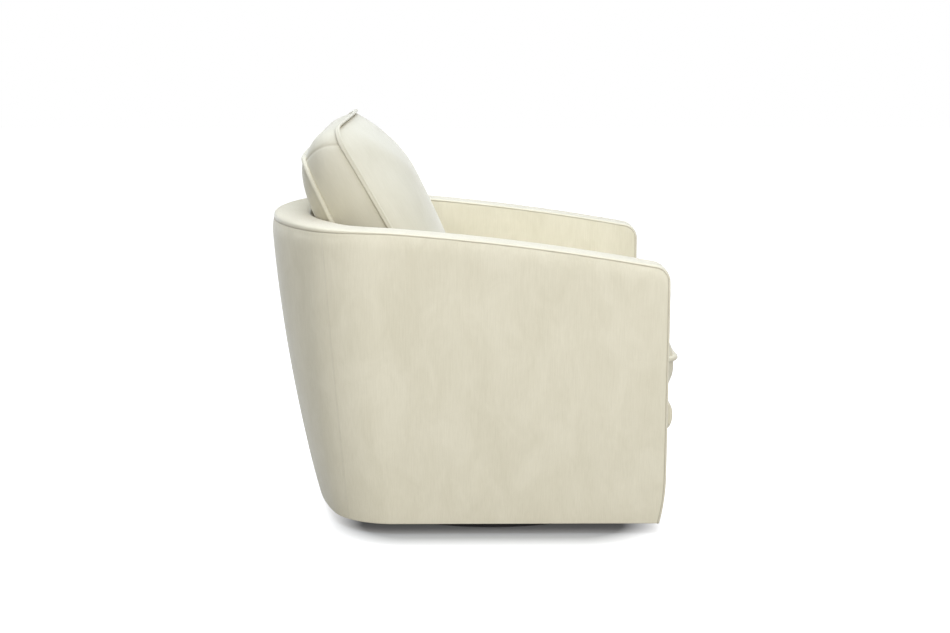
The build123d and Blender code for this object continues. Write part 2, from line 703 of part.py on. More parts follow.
def seat_cushion():
    """Seat cushion: full crown on top, drawn-in sides, and a flat underside that rests on the deck."""
    half = SEAT_WIDTH / 2
    front = SEAT_FRONT_CORNER - SEAT_FRONT
    rear = SEAT_REAR - SEAT_REAR_BELLY - SEAT_REAR_CORNER
    corners = [
        (SEAT_FRONT_CORNER - half, front, SEAT_FRONT_CORNER),
        (half - SEAT_FRONT_CORNER, front, SEAT_FRONT_CORNER),
        (half - SEAT_REAR_CORNER, rear, SEAT_REAR_CORNER),
        (SEAT_REAR_CORNER - half, rear, SEAT_REAR_CORNER),
    ]
    outline = (corners, [SEAT_DRAW, SEAT_DRAW, -SEAT_REAR_BELLY, SEAT_DRAW])
    top_plane = Plane.XY.offset(SEAT_FOOT + SEAT_BOXING)
    under_plane = Plane.XY.offset(SEAT_FOOT)
    top_crown = (SEAT_CROWN, CROWN_FLAT, FULL_CROWN)
    under_crown = (-SEAT_UNDER, SEAT_UNDER_FLAT, FULL_CROWN)
    cushion = Cushion(outline, top_plane, top_crown, outline, under_plane, under_crown)
    return cushion.pieces("seat_cushion", "welt_top", "welt_under")


def leaning_plane(foot, rise, lean):
    """Plane across the chair, facing the sitter, that leans back from a foot line over the seat."""
    angle = math.radians(lean)
    normal = (0, -math.cos(angle), math.sin(angle))
    return Plane(origin=(0, foot, SEAT_TOP + rise), x_dir=(1, 0, 0), z_dir=normal)


def back_outline(width, height, belly):
    """Face of the back cushion: drawn-in sides and foot, round shoulders and a bellied top."""
    half = width / 2
    corners = [
        (BACK_FOOT_CORNER - half, BACK_FOOT_CORNER, BACK_FOOT_CORNER),
        (half - BACK_FOOT_CORNER, BACK_FOOT_CORNER, BACK_FOOT_CORNER),
        (half - BACK_CORNER, height - BACK_CORNER, BACK_CORNER),
        (BACK_CORNER - half, height - BACK_CORNER, BACK_CORNER),
    ]
    return corners, [BACK_SIDE_DRAW, BACK_SIDE_DRAW, -belly, BACK_SIDE_DRAW]


def back_cushion():
    """Back cushion: a wedge that leans on the rim, with a full crown in front and a lower one behind."""
    front = back_outline(BACK_FRONT_WIDTH, BACK_FRONT_HEIGHT, BACK_FRONT_BELLY)
    rear = back_outline(BACK_REAR_WIDTH, BACK_REAR_HEIGHT, BACK_REAR_BELLY)
    front_plane = leaning_plane(BACK_FRONT_FOOT, BACK_FRONT_RISE, BACK_FRONT_LEAN)
    rear_plane = leaning_plane(BACK_REAR_FOOT, BACK_REAR_RISE, BACK_REAR_LEAN)
    front_crown = (BACK_FRONT_CROWN, CROWN_FLAT, FULL_CROWN)
    rear_crown = (-BACK_REAR_CROWN, CROWN_FLAT, SHALLOW_CROWN)
    cushion = Cushion(front, front_plane, front_crown, rear, rear_plane, rear_crown)
    return cushion.pieces("back_cushion", "welt_front", "welt_rear")


def all_pieces():
    """Every sub-part of the chair by its node name."""
    makers = [
        base, swivel_plates, ball_race, king_pin, plate_fasteners,
        sills, deck_board, front_rail, glue_blocks, arm_frame, seat_rails, back_ribs,
        seat_suspension, seat_linings, back_webbing, dust_cover,
        rim_bands, outside_panels, inside_pads, front_border,
        seat_cushion, back_cushion,
    ]
    pieces = {}
    for maker in makers:
        pieces.update(maker())
    return pieces


os.makedirs("parts", exist_ok=True)
for node, shape in all_pieces().items():
    export_step(shape, f"parts/{node}.step")
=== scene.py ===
import json
import math
from collections import namedtuple

import bmesh
import bpy
import numpy as np
from bpy.props import FloatProperty, FloatVectorProperty, PointerProperty
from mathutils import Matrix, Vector


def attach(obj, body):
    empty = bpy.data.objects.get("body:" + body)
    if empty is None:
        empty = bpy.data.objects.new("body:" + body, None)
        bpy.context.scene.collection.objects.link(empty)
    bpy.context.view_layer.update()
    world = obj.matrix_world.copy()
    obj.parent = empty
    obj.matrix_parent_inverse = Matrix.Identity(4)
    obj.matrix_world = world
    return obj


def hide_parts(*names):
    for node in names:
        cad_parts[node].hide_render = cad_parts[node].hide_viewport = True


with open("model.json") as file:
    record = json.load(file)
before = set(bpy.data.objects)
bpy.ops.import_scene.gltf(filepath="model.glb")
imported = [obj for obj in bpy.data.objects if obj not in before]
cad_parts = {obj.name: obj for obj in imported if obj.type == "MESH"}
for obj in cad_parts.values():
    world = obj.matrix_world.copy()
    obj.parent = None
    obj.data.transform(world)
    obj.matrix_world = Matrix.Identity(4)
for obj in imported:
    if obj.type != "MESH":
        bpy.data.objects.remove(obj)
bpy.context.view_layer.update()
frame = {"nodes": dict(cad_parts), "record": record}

bl_info = {
    "name": "Barrel swivel chair",
    "version": (1, 0, 0),
    "blender": (4, 5, 0),
    "location": "View3D > Sidebar > Chair",
    "description": "Upholsters the packed barrel swivel chair and sets up its studio",
    "category": "Object",
}

SIDES = {"left": 1.0, "right": -1.0}
WHITE = (1.0, 1.0, 1.0)
CLOSE = 1e-6
FAR = 1.0

# Counts of points, rows and steps
SIDE_POINTS = 64
CORNER_POINTS = 16
CAP_RINGS = 28
BOXING_RINGS = 16
PANEL_ROWS = 118
PAD_ROWS = 90
PROFILE_POINTS = 45
TUCKED_POINTS = 3
LATTICE = 64
BLOCK = 4096
TOP_STEPS = 30
BAND_STEPS = 20
CLOTH_FRAMES = 20

# Painted shade in the seams, creases and beside the welts: width in metres and darkness from 0 to 1;
# BOXING_FOLD is the width of the dent at the boxing seams
BAND_SEAM = (0.0014, 0.8)
UPRIGHT_SEAM = (0.0016, 0.25)
JOIN_SEAM = (0.0012, 0.3)
CREASE_SEAM = (0.002, 1.0)
BOXING_SEAM = (0.0032, 0.7)
BOXING_FOLD = 0.0042
WELT_MARK = 0.8
# Painted shade of the cushions' side boxing, from 0 to 1
SIDE_PAINTED_SHADE = 0.16

# Unevenness of the cloth: cell in metres and seed
PANEL_GATHER = (0.011, 3)
PANEL_WAVE = (0.11, 7)
PAD_GATHER = (0.012, 11)
BORDER_GATHER = (0.03, 21)
DECK_SAG = (0.05, 31)
DUST_SAG = (0.06, 33)

# Distances in metres over which the cloth changes
PANEL_FADE = 0.014
PAD_FADE = 0.016
PILLOW_FADE = 0.03
EDGE_FADE = 0.006
PLAY = 0.0012
SKIN = 0.0005

# Slopes of the cushion crowns: fullness and roundness
SOFT = (2.6, 1.6)
NOSE = (8.0, 2.5)
SLACK_TOP = (1.8, 1.0)

# Share of a crowned face that is level, and the side of the face where its second slope lies
BROAD, FLAT = 0.25, 0.9
FORWARDS, UPWARDS = -1.0, 1.0

# Ranges of the noise that the finishes use
NOISE_SPAN = (0.3, 0.7)
PATCH_SPAN = (0.36, 0.66)

CLOTH_SETTINGS = {
    "quality": 5,
    "mass": 0.3,
    "tension_stiffness": 18.0,
    "compression_stiffness": 18.0,
    "shear_stiffness": 8.0,
    "bending_stiffness": 1.2,
    "use_pressure": True,
    "vertex_group_mass": "held",
}
GRIP_REACH = 1.6
GRIP_STEP = 0.25
EASE_FACTOR = 0.5
EASE_STEPS = 16

Plan = namedtuple("Plan", "half corner back back_y corner_x corner_y join")
Crown = namedtuple("Crown", "height flat slope side_slope side")


# Properties

def length(default, about):
    """Length property in metres."""
    return FloatProperty(description=about, default=default, precision=4, unit="LENGTH", subtype="DISTANCE")


def share(default, about):
    """Share from none to all."""
    return FloatProperty(description=about, default=default, min=0.0, max=1.0, subtype="FACTOR")


def colour(default, about):
    """Colour in linear light."""
    return FloatVectorProperty(description=about, default=default, size=3, min=0.0, max=1.0, subtype="COLOR")


def turn(default, about):
    """Angle given in degrees and kept in radians."""
    return FloatProperty(description=about, default=math.radians(default), unit="ROTATION", subtype="ANGLE")


def strength(default, about):
    """Plain number that is never negative."""
    return FloatProperty(description=about, default=default, min=0.0)


class TubSizes(bpy.types.PropertyGroup):
    """Sizes of the padded tub, as fitted to the photograph."""

    hem_height: length(0.025, "Height where the hem sizes are taken")
    skirt: length(0.0215, "Height of the lower edge of the cloth")
    hem_width: length(0.738, "Width of the body at the hem")
    hem_rear: length(0.390, "Reach of the back at the hem, behind the swivel axis")
    hem_corner: length(0.140, "Corner radius of the plan at the hem")
    hem_back: length(0.800, "Radius across the back at the hem")
    waist_height: length(0.300, "Height where the waist sizes are taken")
    waist_width: length(0.772, "Width of the body at the waist")
    waist_rear: length(0.448, "Reach of the back at the waist")
    waist_corner: length(0.155, "Corner radius of the plan at the waist")
    waist_back: length(0.640, "Radius across the back at the waist")
    rim_top: length(0.671, "Height where the rim sizes are taken")
    rim_width: length(0.792, "Width of the body at the rim")
    rim_rear: length(0.490, "Reach of the back at the rim")
    rim_corner: length(0.165, "Corner radius of the plan at the rim")
    rim_back: length(0.560, "Radius across the back at the rim")
    arm_front: length(0.3630, "Reach of the arm fronts ahead of the swivel axis")
    arm_height: length(0.571, "Height of the rim line at the arm fronts")
    arm_middle: length(0.060, "Place along the arm where the middle height is taken")
    arm_middle_height: length(0.632, "Height of the rim line at that place")
    rim_height: length(0.659, "Height of the rim line at the back")
    arm_corner: length(0.036, "Radius of the top front corner of the arms")
    toe_setback: length(0.012, "How far the arm front curves back at the hem")
    toe_height: length(0.100, "Height of that curve above the skirt")
    wall: length(0.085, "Thickness of the padded wall")
    outer_pad: length(0.010, "Thickness of the outside panels")
    inner_pad: length(0.029, "Thickness of the inside pads")
    seam_hem: length(0.306, "Place of the upright seam at the hem")
    seam_rim: length(0.356, "Place of the upright seam at the rim plan")
    pad_foot: length(0.2594, "Height where the inside pads start")
    pad_join: length(0.200, "Place where inside arm and inside back meet")
    deck_top: length(0.270, "Height of the seat deck")
    border_rear: length(-0.336, "Rear face of the front border")
    border_setback: length(0.004, "How far the front border lies behind the arm fronts")
    crease: length(0.206, "Height of the crease under the roll of the front border")
    roll_reach: length(0.3825, "Reach of the roll of the front border")
    hole: length(0.165, "Radius of the opening in the dust cover")


class SewingSizes(bpy.types.PropertyGroup):
    """Sizes of the visible needlework."""

    rim_seam: length(0.0080, "How far the rim band's seams lie under the rim line")
    rear_seam: length(0.0240, "How far they lie under it at the middle of the back")
    rim_crest: length(0.0030, "How far the top of the rim band lies under the rim line")
    rear_crest: length(0.0085, "How far it lies under it at the middle of the back")
    lip: length(0.0050, "How far the wall bends in towards the rim band")
    lip_height: length(0.034, "Height over which the wall bends in")
    front_seam: length(0.0055, "How far the band's seams lie behind the arm fronts")
    seam_roll: length(0.0024, "Radius with which cloth turns into the band's seams")
    plain_roll: length(0.0002, "Radius with which cloth turns into a plain seam")
    hem_roll: length(0.0020, "Radius with which cloth turns under the hem")
    pucker: length(0.0005, "Height of the small gathers beside the seams")
    pillow: length(0.0014, "Rise of the outside panels over their seams")
    boxing_seam: length(0.0016, "Depth of the plain seams across the cushion boxing")


class SeatCushionSizes(bpy.types.PropertyGroup):
    """Sizes of the loose seat cushion, as fitted to the photograph."""

    width: length(0.582, "Width over the sides")
    front: length(0.387, "Reach of the front boxing at the upper welt")
    under_front: length(0.3690, "Reach of the front boxing at the lower welt")
    rear: length(0.341, "Reach of the rear boxing")
    front_corner: length(0.042, "Radius of the front corners")
    rear_corner: length(0.110, "Radius of the rear corners")
    rear_belly: length(0.034, "How far the rear side bellies out")
    draw: length(0.006, "How far the other sides draw in")
    foot: length(0.2833, "Height of the lower welt")
    boxing: length(0.074, "Height of the boxing")
    crown: length(0.062, "Rise of the top over its welt")
    under: length(0.013, "Depth of the underside below its welt")
    boxing_swell: length(0.009, "How far the boxing swells between the welts")
    welt: length(0.0125, "Thickness of the upper welt")
    welt_stand: length(0.003, "How far the upper welt stands outside the boxing")


class BackCushionSizes(bpy.types.PropertyGroup):
    """Sizes of the loose back cushion, as fitted to the photograph."""

    corner: length(0.040, "Radius of the shoulders of the front face")
    rear_corner: length(0.055, "Radius of the shoulders of the rear face")
    foot_corner: length(0.045, "Radius of the lower corners")
    draw: length(0.008, "How far the sides and the foot draw in")
    front_width: length(0.509, "Width of the front face")
    front_height: length(0.473, "Height of the front face along its lean")
    front_belly: length(0.003, "How far the top of the front face bellies out")
    front_lean: turn(29.4, "Lean of the front face from upright")
    front_foot: length(0.103, "Place of the foot of the front face")
    front_level: length(0.4244, "Height of the foot of the front face")
    front_crown: length(0.072, "Rise of the front over its welt")
    front_bow: length(0.040, "How far the top of the front welt bows forwards")
    rear_width: length(0.462, "Width of the rear face")
    rear_height: length(0.403, "Height of the rear face along its lean")
    rear_belly: length(0.003, "How far the top of the rear face bellies out")
    rear_lean: turn(24.9, "Lean of the rear face from upright")
    rear_foot: length(0.231, "Place of the foot of the rear face")
    rear_level: length(0.4081, "Height of the foot of the rear face")
    rear_crown: length(0.042, "Rise of the rear over its welt")
    boxing_swell: length(0.009, "How far the boxing swells between the welts")
    top_swell: length(0.020, "How far the boxing swells along the top")
    welt: length(0.010, "Thickness of the cushion welts")
    welt_stand: length(0.0035, "How far the welts stand outside the boxing")
    welt_lift: length(0.0020, "How far the front welt stands before the edge of the front face")


class FillSettings(bpy.types.PropertyGroup):
    """Settings of the stuffing simulation."""

    voxel: length(0.006, "Size of the cells of the simulated cloth")
    slack: share(0.94, "Share of the crowns that the cloth starts with")
    pressure: strength(5.0, "Pressure of the stuffing")
    cap: length(0.022, "Farthest that a point of the cloth may swell out of the form")
    sink: length(0.0008, "Farthest that a point of the cloth may sink into the form")


class ClothColours(bpy.types.PropertyGroup):
    """Colours of the finishes."""

    velvet: colour((0.80, 0.756, 0.612), "Pile of the velvet")
    velvet_shade: colour((0.70, 0.656, 0.512), "Pile of the velvet where it is brushed down")
    # Painted shade: the colour that the velvet darkens towards in seams, creases, beside welts and on the
    # cushions' side boxing
    seam: colour((0.52, 0.48, 0.38), "Velvet turned into a seam")
    lining: colour((0.022, 0.022, 0.024), "Dust cover and webbing")
    deck: colour((0.62, 0.58, 0.47), "Cloth under the seat cushion")
    felt: colour((0.055, 0.055, 0.055), "Pressed felt")
    foam: colour((0.80, 0.73, 0.50), "Cushion cores")
    plinth: colour((0.012, 0.012, 0.012), "Stained plinth board")
    timber: colour((0.55, 0.38, 0.20), "Bare frame timber")
    steel: colour((0.52, 0.53, 0.55), "Plated steel")
    bronze: colour((0.58, 0.36, 0.14), "Turned bronze bush")
    cage: colour((0.06, 0.06, 0.065), "Moulded ball cage")


class StudioSettings(bpy.types.PropertyGroup):
    """Camera, lamps and floor."""

    distance: length(4.0, "Distance of the camera from the swivel axis")
    aside: length(0.0748, "Place of the camera along the chair")
    height: length(1.10, "Height of the camera")
    pitch: turn(9.92, "How far the camera looks down")
    yaw: turn(0.573, "How far the camera looks towards the chair's front")
    lens: strength(67.8, "Focal length in millimetres on a 36 mm frame")
    floor: colour((0.50, 0.50, 0.50), "Colour of the floor")
    # Painted light on the floor: a camera-only glow, weak in a patch round the chair
    glow_near: strength(0.05, "Brightness added to the floor under the chair for the camera")
    glow_reach: length(0.110, "Distance from the chair's shade where the floor is white for the camera")
    foot_half: length(0.370, "Half the width of the chair's shade on the floor")
    foot_reach: length(0.278, "Half the depth of that shade")
    foot_corner: length(0.100, "Corner radius of that shade")
    foot_shift: length(0.025, "How far that shade is moved towards the camera's side")
    ambient: strength(0.36, "Strength of the even light from all round")
    warm: colour((1.0, 0.95, 0.84), "Colour of the even light")
    cool: colour((0.76, 0.85, 1.0), "Colour of the lamps overhead and in front")
    top_lamp: strength(102.0, "Power of the lamp overhead")
    front_lamp: strength(14.0, "Power of the lamp before the chair")
    side_lamp: strength(73.0, "Power of the lamp beside the camera")


# Meshes

def grid_quads(rows, columns, wrap_rows=False, wrap_columns=False):
    """Corner numbers of the quads of a grid of points, joined up in a direction that wraps."""
    row = np.arange(rows if wrap_rows else rows - 1)[:, None]
    column = np.arange(columns if wrap_columns else columns - 1)[None, :]
    here, above, beside = row * columns, (row + 1) % rows * columns, (column + 1) % columns
    return stacked(here + column, here + beside, above + beside, above + column).reshape(-1, 4)


def stacked(*parts):
    """Coordinate arrays joined as points."""
    return np.stack(np.broadcast_arrays(*parts), axis=-1)


def new_piece(name, points, faces, seam=None):
    """Smooth mesh object at the origin, with doubles merged, normals outwards and its seams marked."""
    mesh = bpy.data.meshes.new(name)
    sizes = np.concatenate([np.full(len(group), group.shape[1]) for group in faces])
    corners = np.concatenate([group.ravel() for group in faces]).astype(np.int32)
    mesh.vertices.add(len(points))
    move_points(mesh, points)
    mesh.loops.add(len(corners))
    mesh.loops.foreach_set("vertex_index", corners)
    mesh.polygons.add(len(sizes))
    mesh.polygons.foreach_set("loop_start", (np.cumsum(sizes) - sizes).astype(np.int32))
    mesh.polygons.foreach_set("use_smooth", np.ones(len(sizes), bool))
    mark_seams(mesh, np.zeros(len(points)) if seam is None else seam)
    mesh.update(calc_edges=True)
    shell = bmesh.new()
    shell.from_mesh(mesh)
    bmesh.ops.remove_doubles(shell, verts=shell.verts, dist=CLOSE)
    bmesh.ops.recalc_face_normals(shell, faces=shell.faces)
    shell.to_mesh(mesh)
    shell.free()
    piece = bpy.data.objects.new(name, mesh)
    bpy.context.scene.collection.objects.link(piece)
    return piece


def mark_seams(mesh, seam):
    """Writes how deep each point lies in a seam, from 0 to 1, to the mesh's seam attribute, which the velvet
    reads as painted shade.
    """
    attribute = mesh.attributes.get("seam") or mesh.attributes.new("seam", "FLOAT", "POINT")
    attribute.data.foreach_set("value", np.ascontiguousarray(seam, np.float32).ravel())


def move_points(mesh, points):
    """Moves the points of a mesh to new places."""
    mesh.vertices.foreach_set("co", np.ascontiguousarray(points, np.float32).ravel())


def vectors_of(mesh, key):
    """Places (co) or normals (normal) of the points of a mesh, as an array."""
    vectors = np.empty(len(mesh.vertices) * 3, np.float32)
    mesh.vertices.foreach_get(key, vectors)
    return vectors.reshape(-1, 3).astype(float)


def new_pad(name, face, back, seam):
    """Closed pad: a face grid, a back grid of the same count and a wall between their borders."""
    rows, columns = face.shape[:2]
    count = rows * columns
    quads = grid_quads(rows, columns)
    index = np.arange(count).reshape(rows, columns)
    border = np.concatenate([index[0, :-1], index[:-1, -1], index[-1, :0:-1], index[:0:-1, 0]])
    after = np.roll(border, -1)
    wall = np.stack([border, after, after + count, border + count], axis=1)
    points = np.concatenate([face.reshape(-1, 3), back.reshape(-1, 3)])
    seams = np.concatenate([seam.ravel(), np.zeros(count)])
    return new_piece(name, points, [quads, quads[:, ::-1] + count, wall], seams)


def new_tube(name, rings, seam):
    """Closed profile carried along a path: a grid of rings, capped by a fan at each end."""
    stations, around = rings.shape[:2]
    count = stations * around
    rim = np.arange(around)
    after = np.roll(rim, -1)
    last = count - around
    hub = np.full(around, count)
    fans = [np.stack([hub, after, rim], axis=1), np.stack([hub + 1, rim + last, after + last], axis=1)]
    points = np.concatenate([rings.reshape(-1, 3), rings[[0, -1]].mean(1)])
    marks = np.concatenate([seam.ravel(), np.zeros(2)])
    return new_piece(name, points, [grid_quads(stations, around, False, True), *fans], marks)


def new_ring(name, rings):
    """Grid of rings that closes both ways, as one piece."""
    return new_piece(name, rings.reshape(-1, 3), [grid_quads(*rings.shape[:2], True, True)])


# Shapes

def edged(count, closeness):
    """Shares from 0 to 1 that lie closer together near both ends, by a sine."""
    even = np.linspace(0.0, 1.0, count)
    return even - closeness * np.sin(2 * np.pi * even) / (2 * np.pi)


def front_shares(corner_start=0.94):
    """Shares from 0 to 1 towards an arm front: even, then closer and closer by a sine at the round corner."""
    even = np.linspace(0.0, corner_start, num=84)[:-1]
    turned = np.sin(np.linspace(0, np.pi / 2, num=18))
    return np.concatenate([even, corner_start + (1 - corner_start) * turned])


def rolled(distance, radius):
    """Depth of cloth that turns into a seam: a quarter circle over the last radius before the edge."""
    reach = np.clip(radius - distance, 0.0, radius)
    return radius - np.sqrt(radius ** 2 - reach ** 2)


def seam_mark(distance, width, depth=1.0):
    """Mark that has its depth on a seam and fades over a width, by a bell curve."""
    return depth * np.exp(-(distance / width) ** 2)


def smooth_step(way):
    """Step from 0 to 1 with level ends, by a cubic."""
    way = np.clip(way, 0.0, 1.0)
    return way * way * (3 - 2 * way)


def soft_noise(along, across, cell, seed):
    """Smooth noise about zero: random heights on a square lattice, joined by smooth steps."""
    lattice = np.random.default_rng(seed).standard_normal((LATTICE, LATTICE))
    u, v = np.broadcast_arrays(along / cell, across / cell)
    column, row = np.floor(u).astype(int), np.floor(v).astype(int)
    fu, fv = smooth_step(u - column), smooth_step(v - row)
    left, right = column % LATTICE, (column + 1) % LATTICE
    low, high = row % LATTICE, (row + 1) % LATTICE
    lower = lattice[low, left] * (1 - fu) + lattice[low, right] * fu
    upper = lattice[high, left] * (1 - fu) + lattice[high, right] * fu
    return lower * (1 - fv) + upper * fv


class Tub:
    """Wall of the body: a plan of straight sides, corner arcs and a back arc that grows with height."""

    def __init__(self, scene):
        """Works out the circle of the rim line and the radius of the toe."""
        self.sizes = s = scene.chair_tub
        self.sewing = scene.chair_sewing
        ends = np.array([
            (-s.arm_front, s.arm_height), (s.arm_middle, s.arm_middle_height), (s.rim_rear, s.rim_height),
        ])
        rows = np.column_stack([2 * ends, np.ones(len(ends))])
        self.hub_y, self.hub_z, spare = np.linalg.solve(rows, (ends ** 2).sum(1))
        self.rim_radius = math.sqrt(spare + self.hub_y ** 2 + self.hub_z ** 2)
        self.toe_radius = (s.toe_setback ** 2 + s.toe_height ** 2) / (2 * s.toe_setback)

    def plan(self, z):
        """Half width, corner and back radii, their centres and the joining angle, on a parabola in height."""
        s = self.sizes
        low, middle, high = s.hem_height, s.waist_height, s.rim_top
        shares = {
            "hem": (z - middle) * (z - high) / ((low - middle) * (low - high)),
            "waist": (z - low) * (z - high) / ((middle - low) * (middle - high)),
            "rim": (z - low) * (z - middle) / ((high - low) * (high - middle)),
        }
        width, rear, corner, back = (
            sum(part * getattr(s, level + "_" + size) for level, part in shares.items())
            for size in ("width", "rear", "corner", "back")
        )
        back_y, corner_x = rear - back, width / 2 - corner
        corner_y = back_y + np.sqrt((back - corner) ** 2 - corner_x ** 2)
        join = np.arctan2(corner_y - back_y, corner_x)
        return Plan(width / 2, corner, back, back_y, corner_x, corner_y, join)

    def wall(self, place, z, inset):
        """Point of the wall: places 0 to 1 are on the back arc, 1 to 2 on the corner, 2 to 3 go forwards."""
        plan = self.plan(z)
        on_back = place < 1
        back_angle = np.pi / 2 + (plan.join - np.pi / 2) * place
        angle = np.where(on_back, back_angle, plan.join * (2 - np.clip(place, 1, 2)))
        radius = np.where(on_back, plan.back, plan.corner) - inset
        x = np.where(on_back, 0.0, plan.corner_x) + radius * np.cos(angle)
        y = np.where(on_back, plan.back_y, plan.corner_y) + radius * np.sin(angle)
        run = np.clip(place - 2, 0, None)
        return x, y + (self.front(z, 0.0) - plan.corner_y) * run

    def rim(self, y):
        """Height of the rim line, one arc from the arm fronts to the back."""
        along = np.clip(y, -2 * self.sizes.arm_front, self.sizes.rim_rear) - self.hub_y
        return self.hub_z + np.sqrt(self.rim_radius ** 2 - along ** 2)

    def rim_slope(self, y):
        """Slope of the rim line, from its heights close before and behind a place."""
        return (self.rim(y + CLOSE) - self.rim(y - CLOSE)) / (2 * CLOSE)

    def front(self, z, setback):
        """Front line of the arms: upright, and curved back towards the hem."""
        s = self.sizes
        below = np.clip(s.skirt + s.toe_height - z, 0, None)
        return setback - s.arm_front + self.toe_radius - np.sqrt(self.toe_radius ** 2 - below ** 2)

    def corner(self, setback, drop, radius):
        """Centre and touching angle of the arc between the front line and the lowered rim line."""
        hub_y = setback - self.sizes.arm_front + radius
        lean = math.atan(self.rim_slope(hub_y))
        hub_z = float(self.rim(hub_y)) - drop - radius / math.cos(lean)
        return hub_y, hub_z, lean

    def arm_top(self, y):
        """Upper edge of an arm panel: the lowered rim line with a round front corner."""
        setback = self.sewing.front_seam
        radius = self.sizes.arm_corner - setback
        hub_y, hub_z, lean = self.corner(setback, self.sewing.rim_seam, radius)
        round_part = hub_z + np.sqrt(np.clip(radius ** 2 - (y - hub_y) ** 2, 0, None))
        return np.where(y < hub_y - radius * math.sin(lean), round_part, self.back_top(y))

    def back_top(self, y):
        """Upper edge of a back panel: the rim line lowered to the band's seams."""
        return self.rim(y) - self.seam_drop(y)

    def round_back(self, y, at_arm, at_back):
        """Value that changes from the arms to the middle of the back by a smooth step."""
        way = smooth_step((y - self.sizes.pad_join) / (self.sizes.rim_rear - self.sizes.pad_join))
        return at_arm + (at_back - at_arm) * way

    def seam_drop(self, y):
        """Depth of the rim band's seams under the rim line."""
        return self.round_back(y, self.sewing.rim_seam, self.sewing.rear_seam)

    def crest(self, y):
        """Depth of the top of the rim band under the rim line."""
        return self.round_back(y, self.sewing.rim_crest, self.sewing.rear_crest)

    def lip(self, from_top):
        """How far the wall bends in below the rim band: a parabola over the lip's height."""
        return self.sewing.lip * np.clip(1 - from_top / self.sewing.lip_height, 0, 1) ** 2

    def seam_place(self, z):
        """Place of the upright seam between outside arm and outside back, on the corner arc."""
        s, plan = self.sizes, self.plan(z)
        seam_y = s.seam_hem + (s.seam_rim - s.seam_hem) * (z - s.hem_height) / (s.rim_top - s.hem_height)
        return 2 - np.arcsin((seam_y - plan.corner_y) / plan.corner) / plan.join

    def settle_top(self, place_at, shape, inset, top):
        """Height at which each column of a panel meets its upper edge, found by repeated substitution."""
        first_guess = 0.6
        height = np.full(shape, first_guess)
        for _ in range(TOP_STEPS):
            height = 0.5 * height + 0.5 * top(self.wall(place_at(height), height, inset)[1])
        return height

    def pad(self, name, node, finish, side, place, z, insets, seam, fill):
        """Velvet pad on the wall, between the insets of its face and of its back."""
        walls = [self.wall(place, z, inset) for inset in insets]
        piece = new_pad(name, *(stacked(x * side, y, z) for x, y in walls), seam)
        dress(piece, finish, "chair", "velvet", node)


def soft_outline(corners, draws, spread):
    """Closed outline of round corners joined by shallow arcs, with a fixed count of points on each.

    Each corner is its centre and radius. A side's draw is how far its middle lies inside the straight
    line, and a negative draw bellies out. The whole outline is moved outwards by the spread.
    """
    total = len(corners)
    centres = [np.array(corner[:2]) for corner in corners]
    radii = [corner[2] + spread for corner in corners]
    sides = []
    for index, draw in enumerate(draws):
        after = (index + 1) % total
        span = centres[after] - centres[index]
        reach = np.linalg.norm(span)
        bend = math.copysign(1, draw)
        mean = (corners[index][2] + corners[after][2]) / 2
        bow = (reach ** 2 / 4 + draw ** 2) / (2 * abs(draw)) - bend * (mean + spread)
        near, far = bow + bend * radii[index], bow + bend * radii[after]
        along = (near ** 2 - far ** 2 + reach ** 2) / (2 * reach)
        away = bend * math.sqrt(near ** 2 - along ** 2)
        ahead = span / reach
        hub = centres[index] + ahead * along + np.array([ahead[1], -ahead[0]]) * away
        start = centres[index] + (hub - centres[index]) / near * (bend * radii[index])
        end = centres[after] + (hub - centres[after]) / far * (bend * radii[after])
        sides.append((hub, start, end))
    runs = []
    for index, (hub, start, end) in enumerate(sides):
        after = (index + 1) % total
        runs.append(arc(hub, start, end, SIDE_POINTS))
        runs.append(arc(centres[after], end, sides[after][1], CORNER_POINTS))
    return np.concatenate(runs)


def arc(hub, start, end, count):
    """Points of the shorter arc about a hub, from a start up to but without its end."""
    first = math.atan2(*(start - hub)[::-1])
    last = math.atan2(*(end - hub)[::-1])
    sweep = (last - first + math.pi) % (2 * math.pi) - math.pi
    angles = first + sweep * np.linspace(0.0, 1.0, count, endpoint=False)
    return hub + np.linalg.norm(start - hub) * stacked(np.cos(angles), np.sin(angles))


def outward(outline):
    """Unit normals of a closed outline that runs anticlockwise."""
    ahead = np.roll(outline, -1, axis=0) - np.roll(outline, 1, axis=0)
    normal = stacked(ahead[:, 1], -ahead[:, 0])
    return normal / np.linalg.norm(normal, axis=1, keepdims=True)


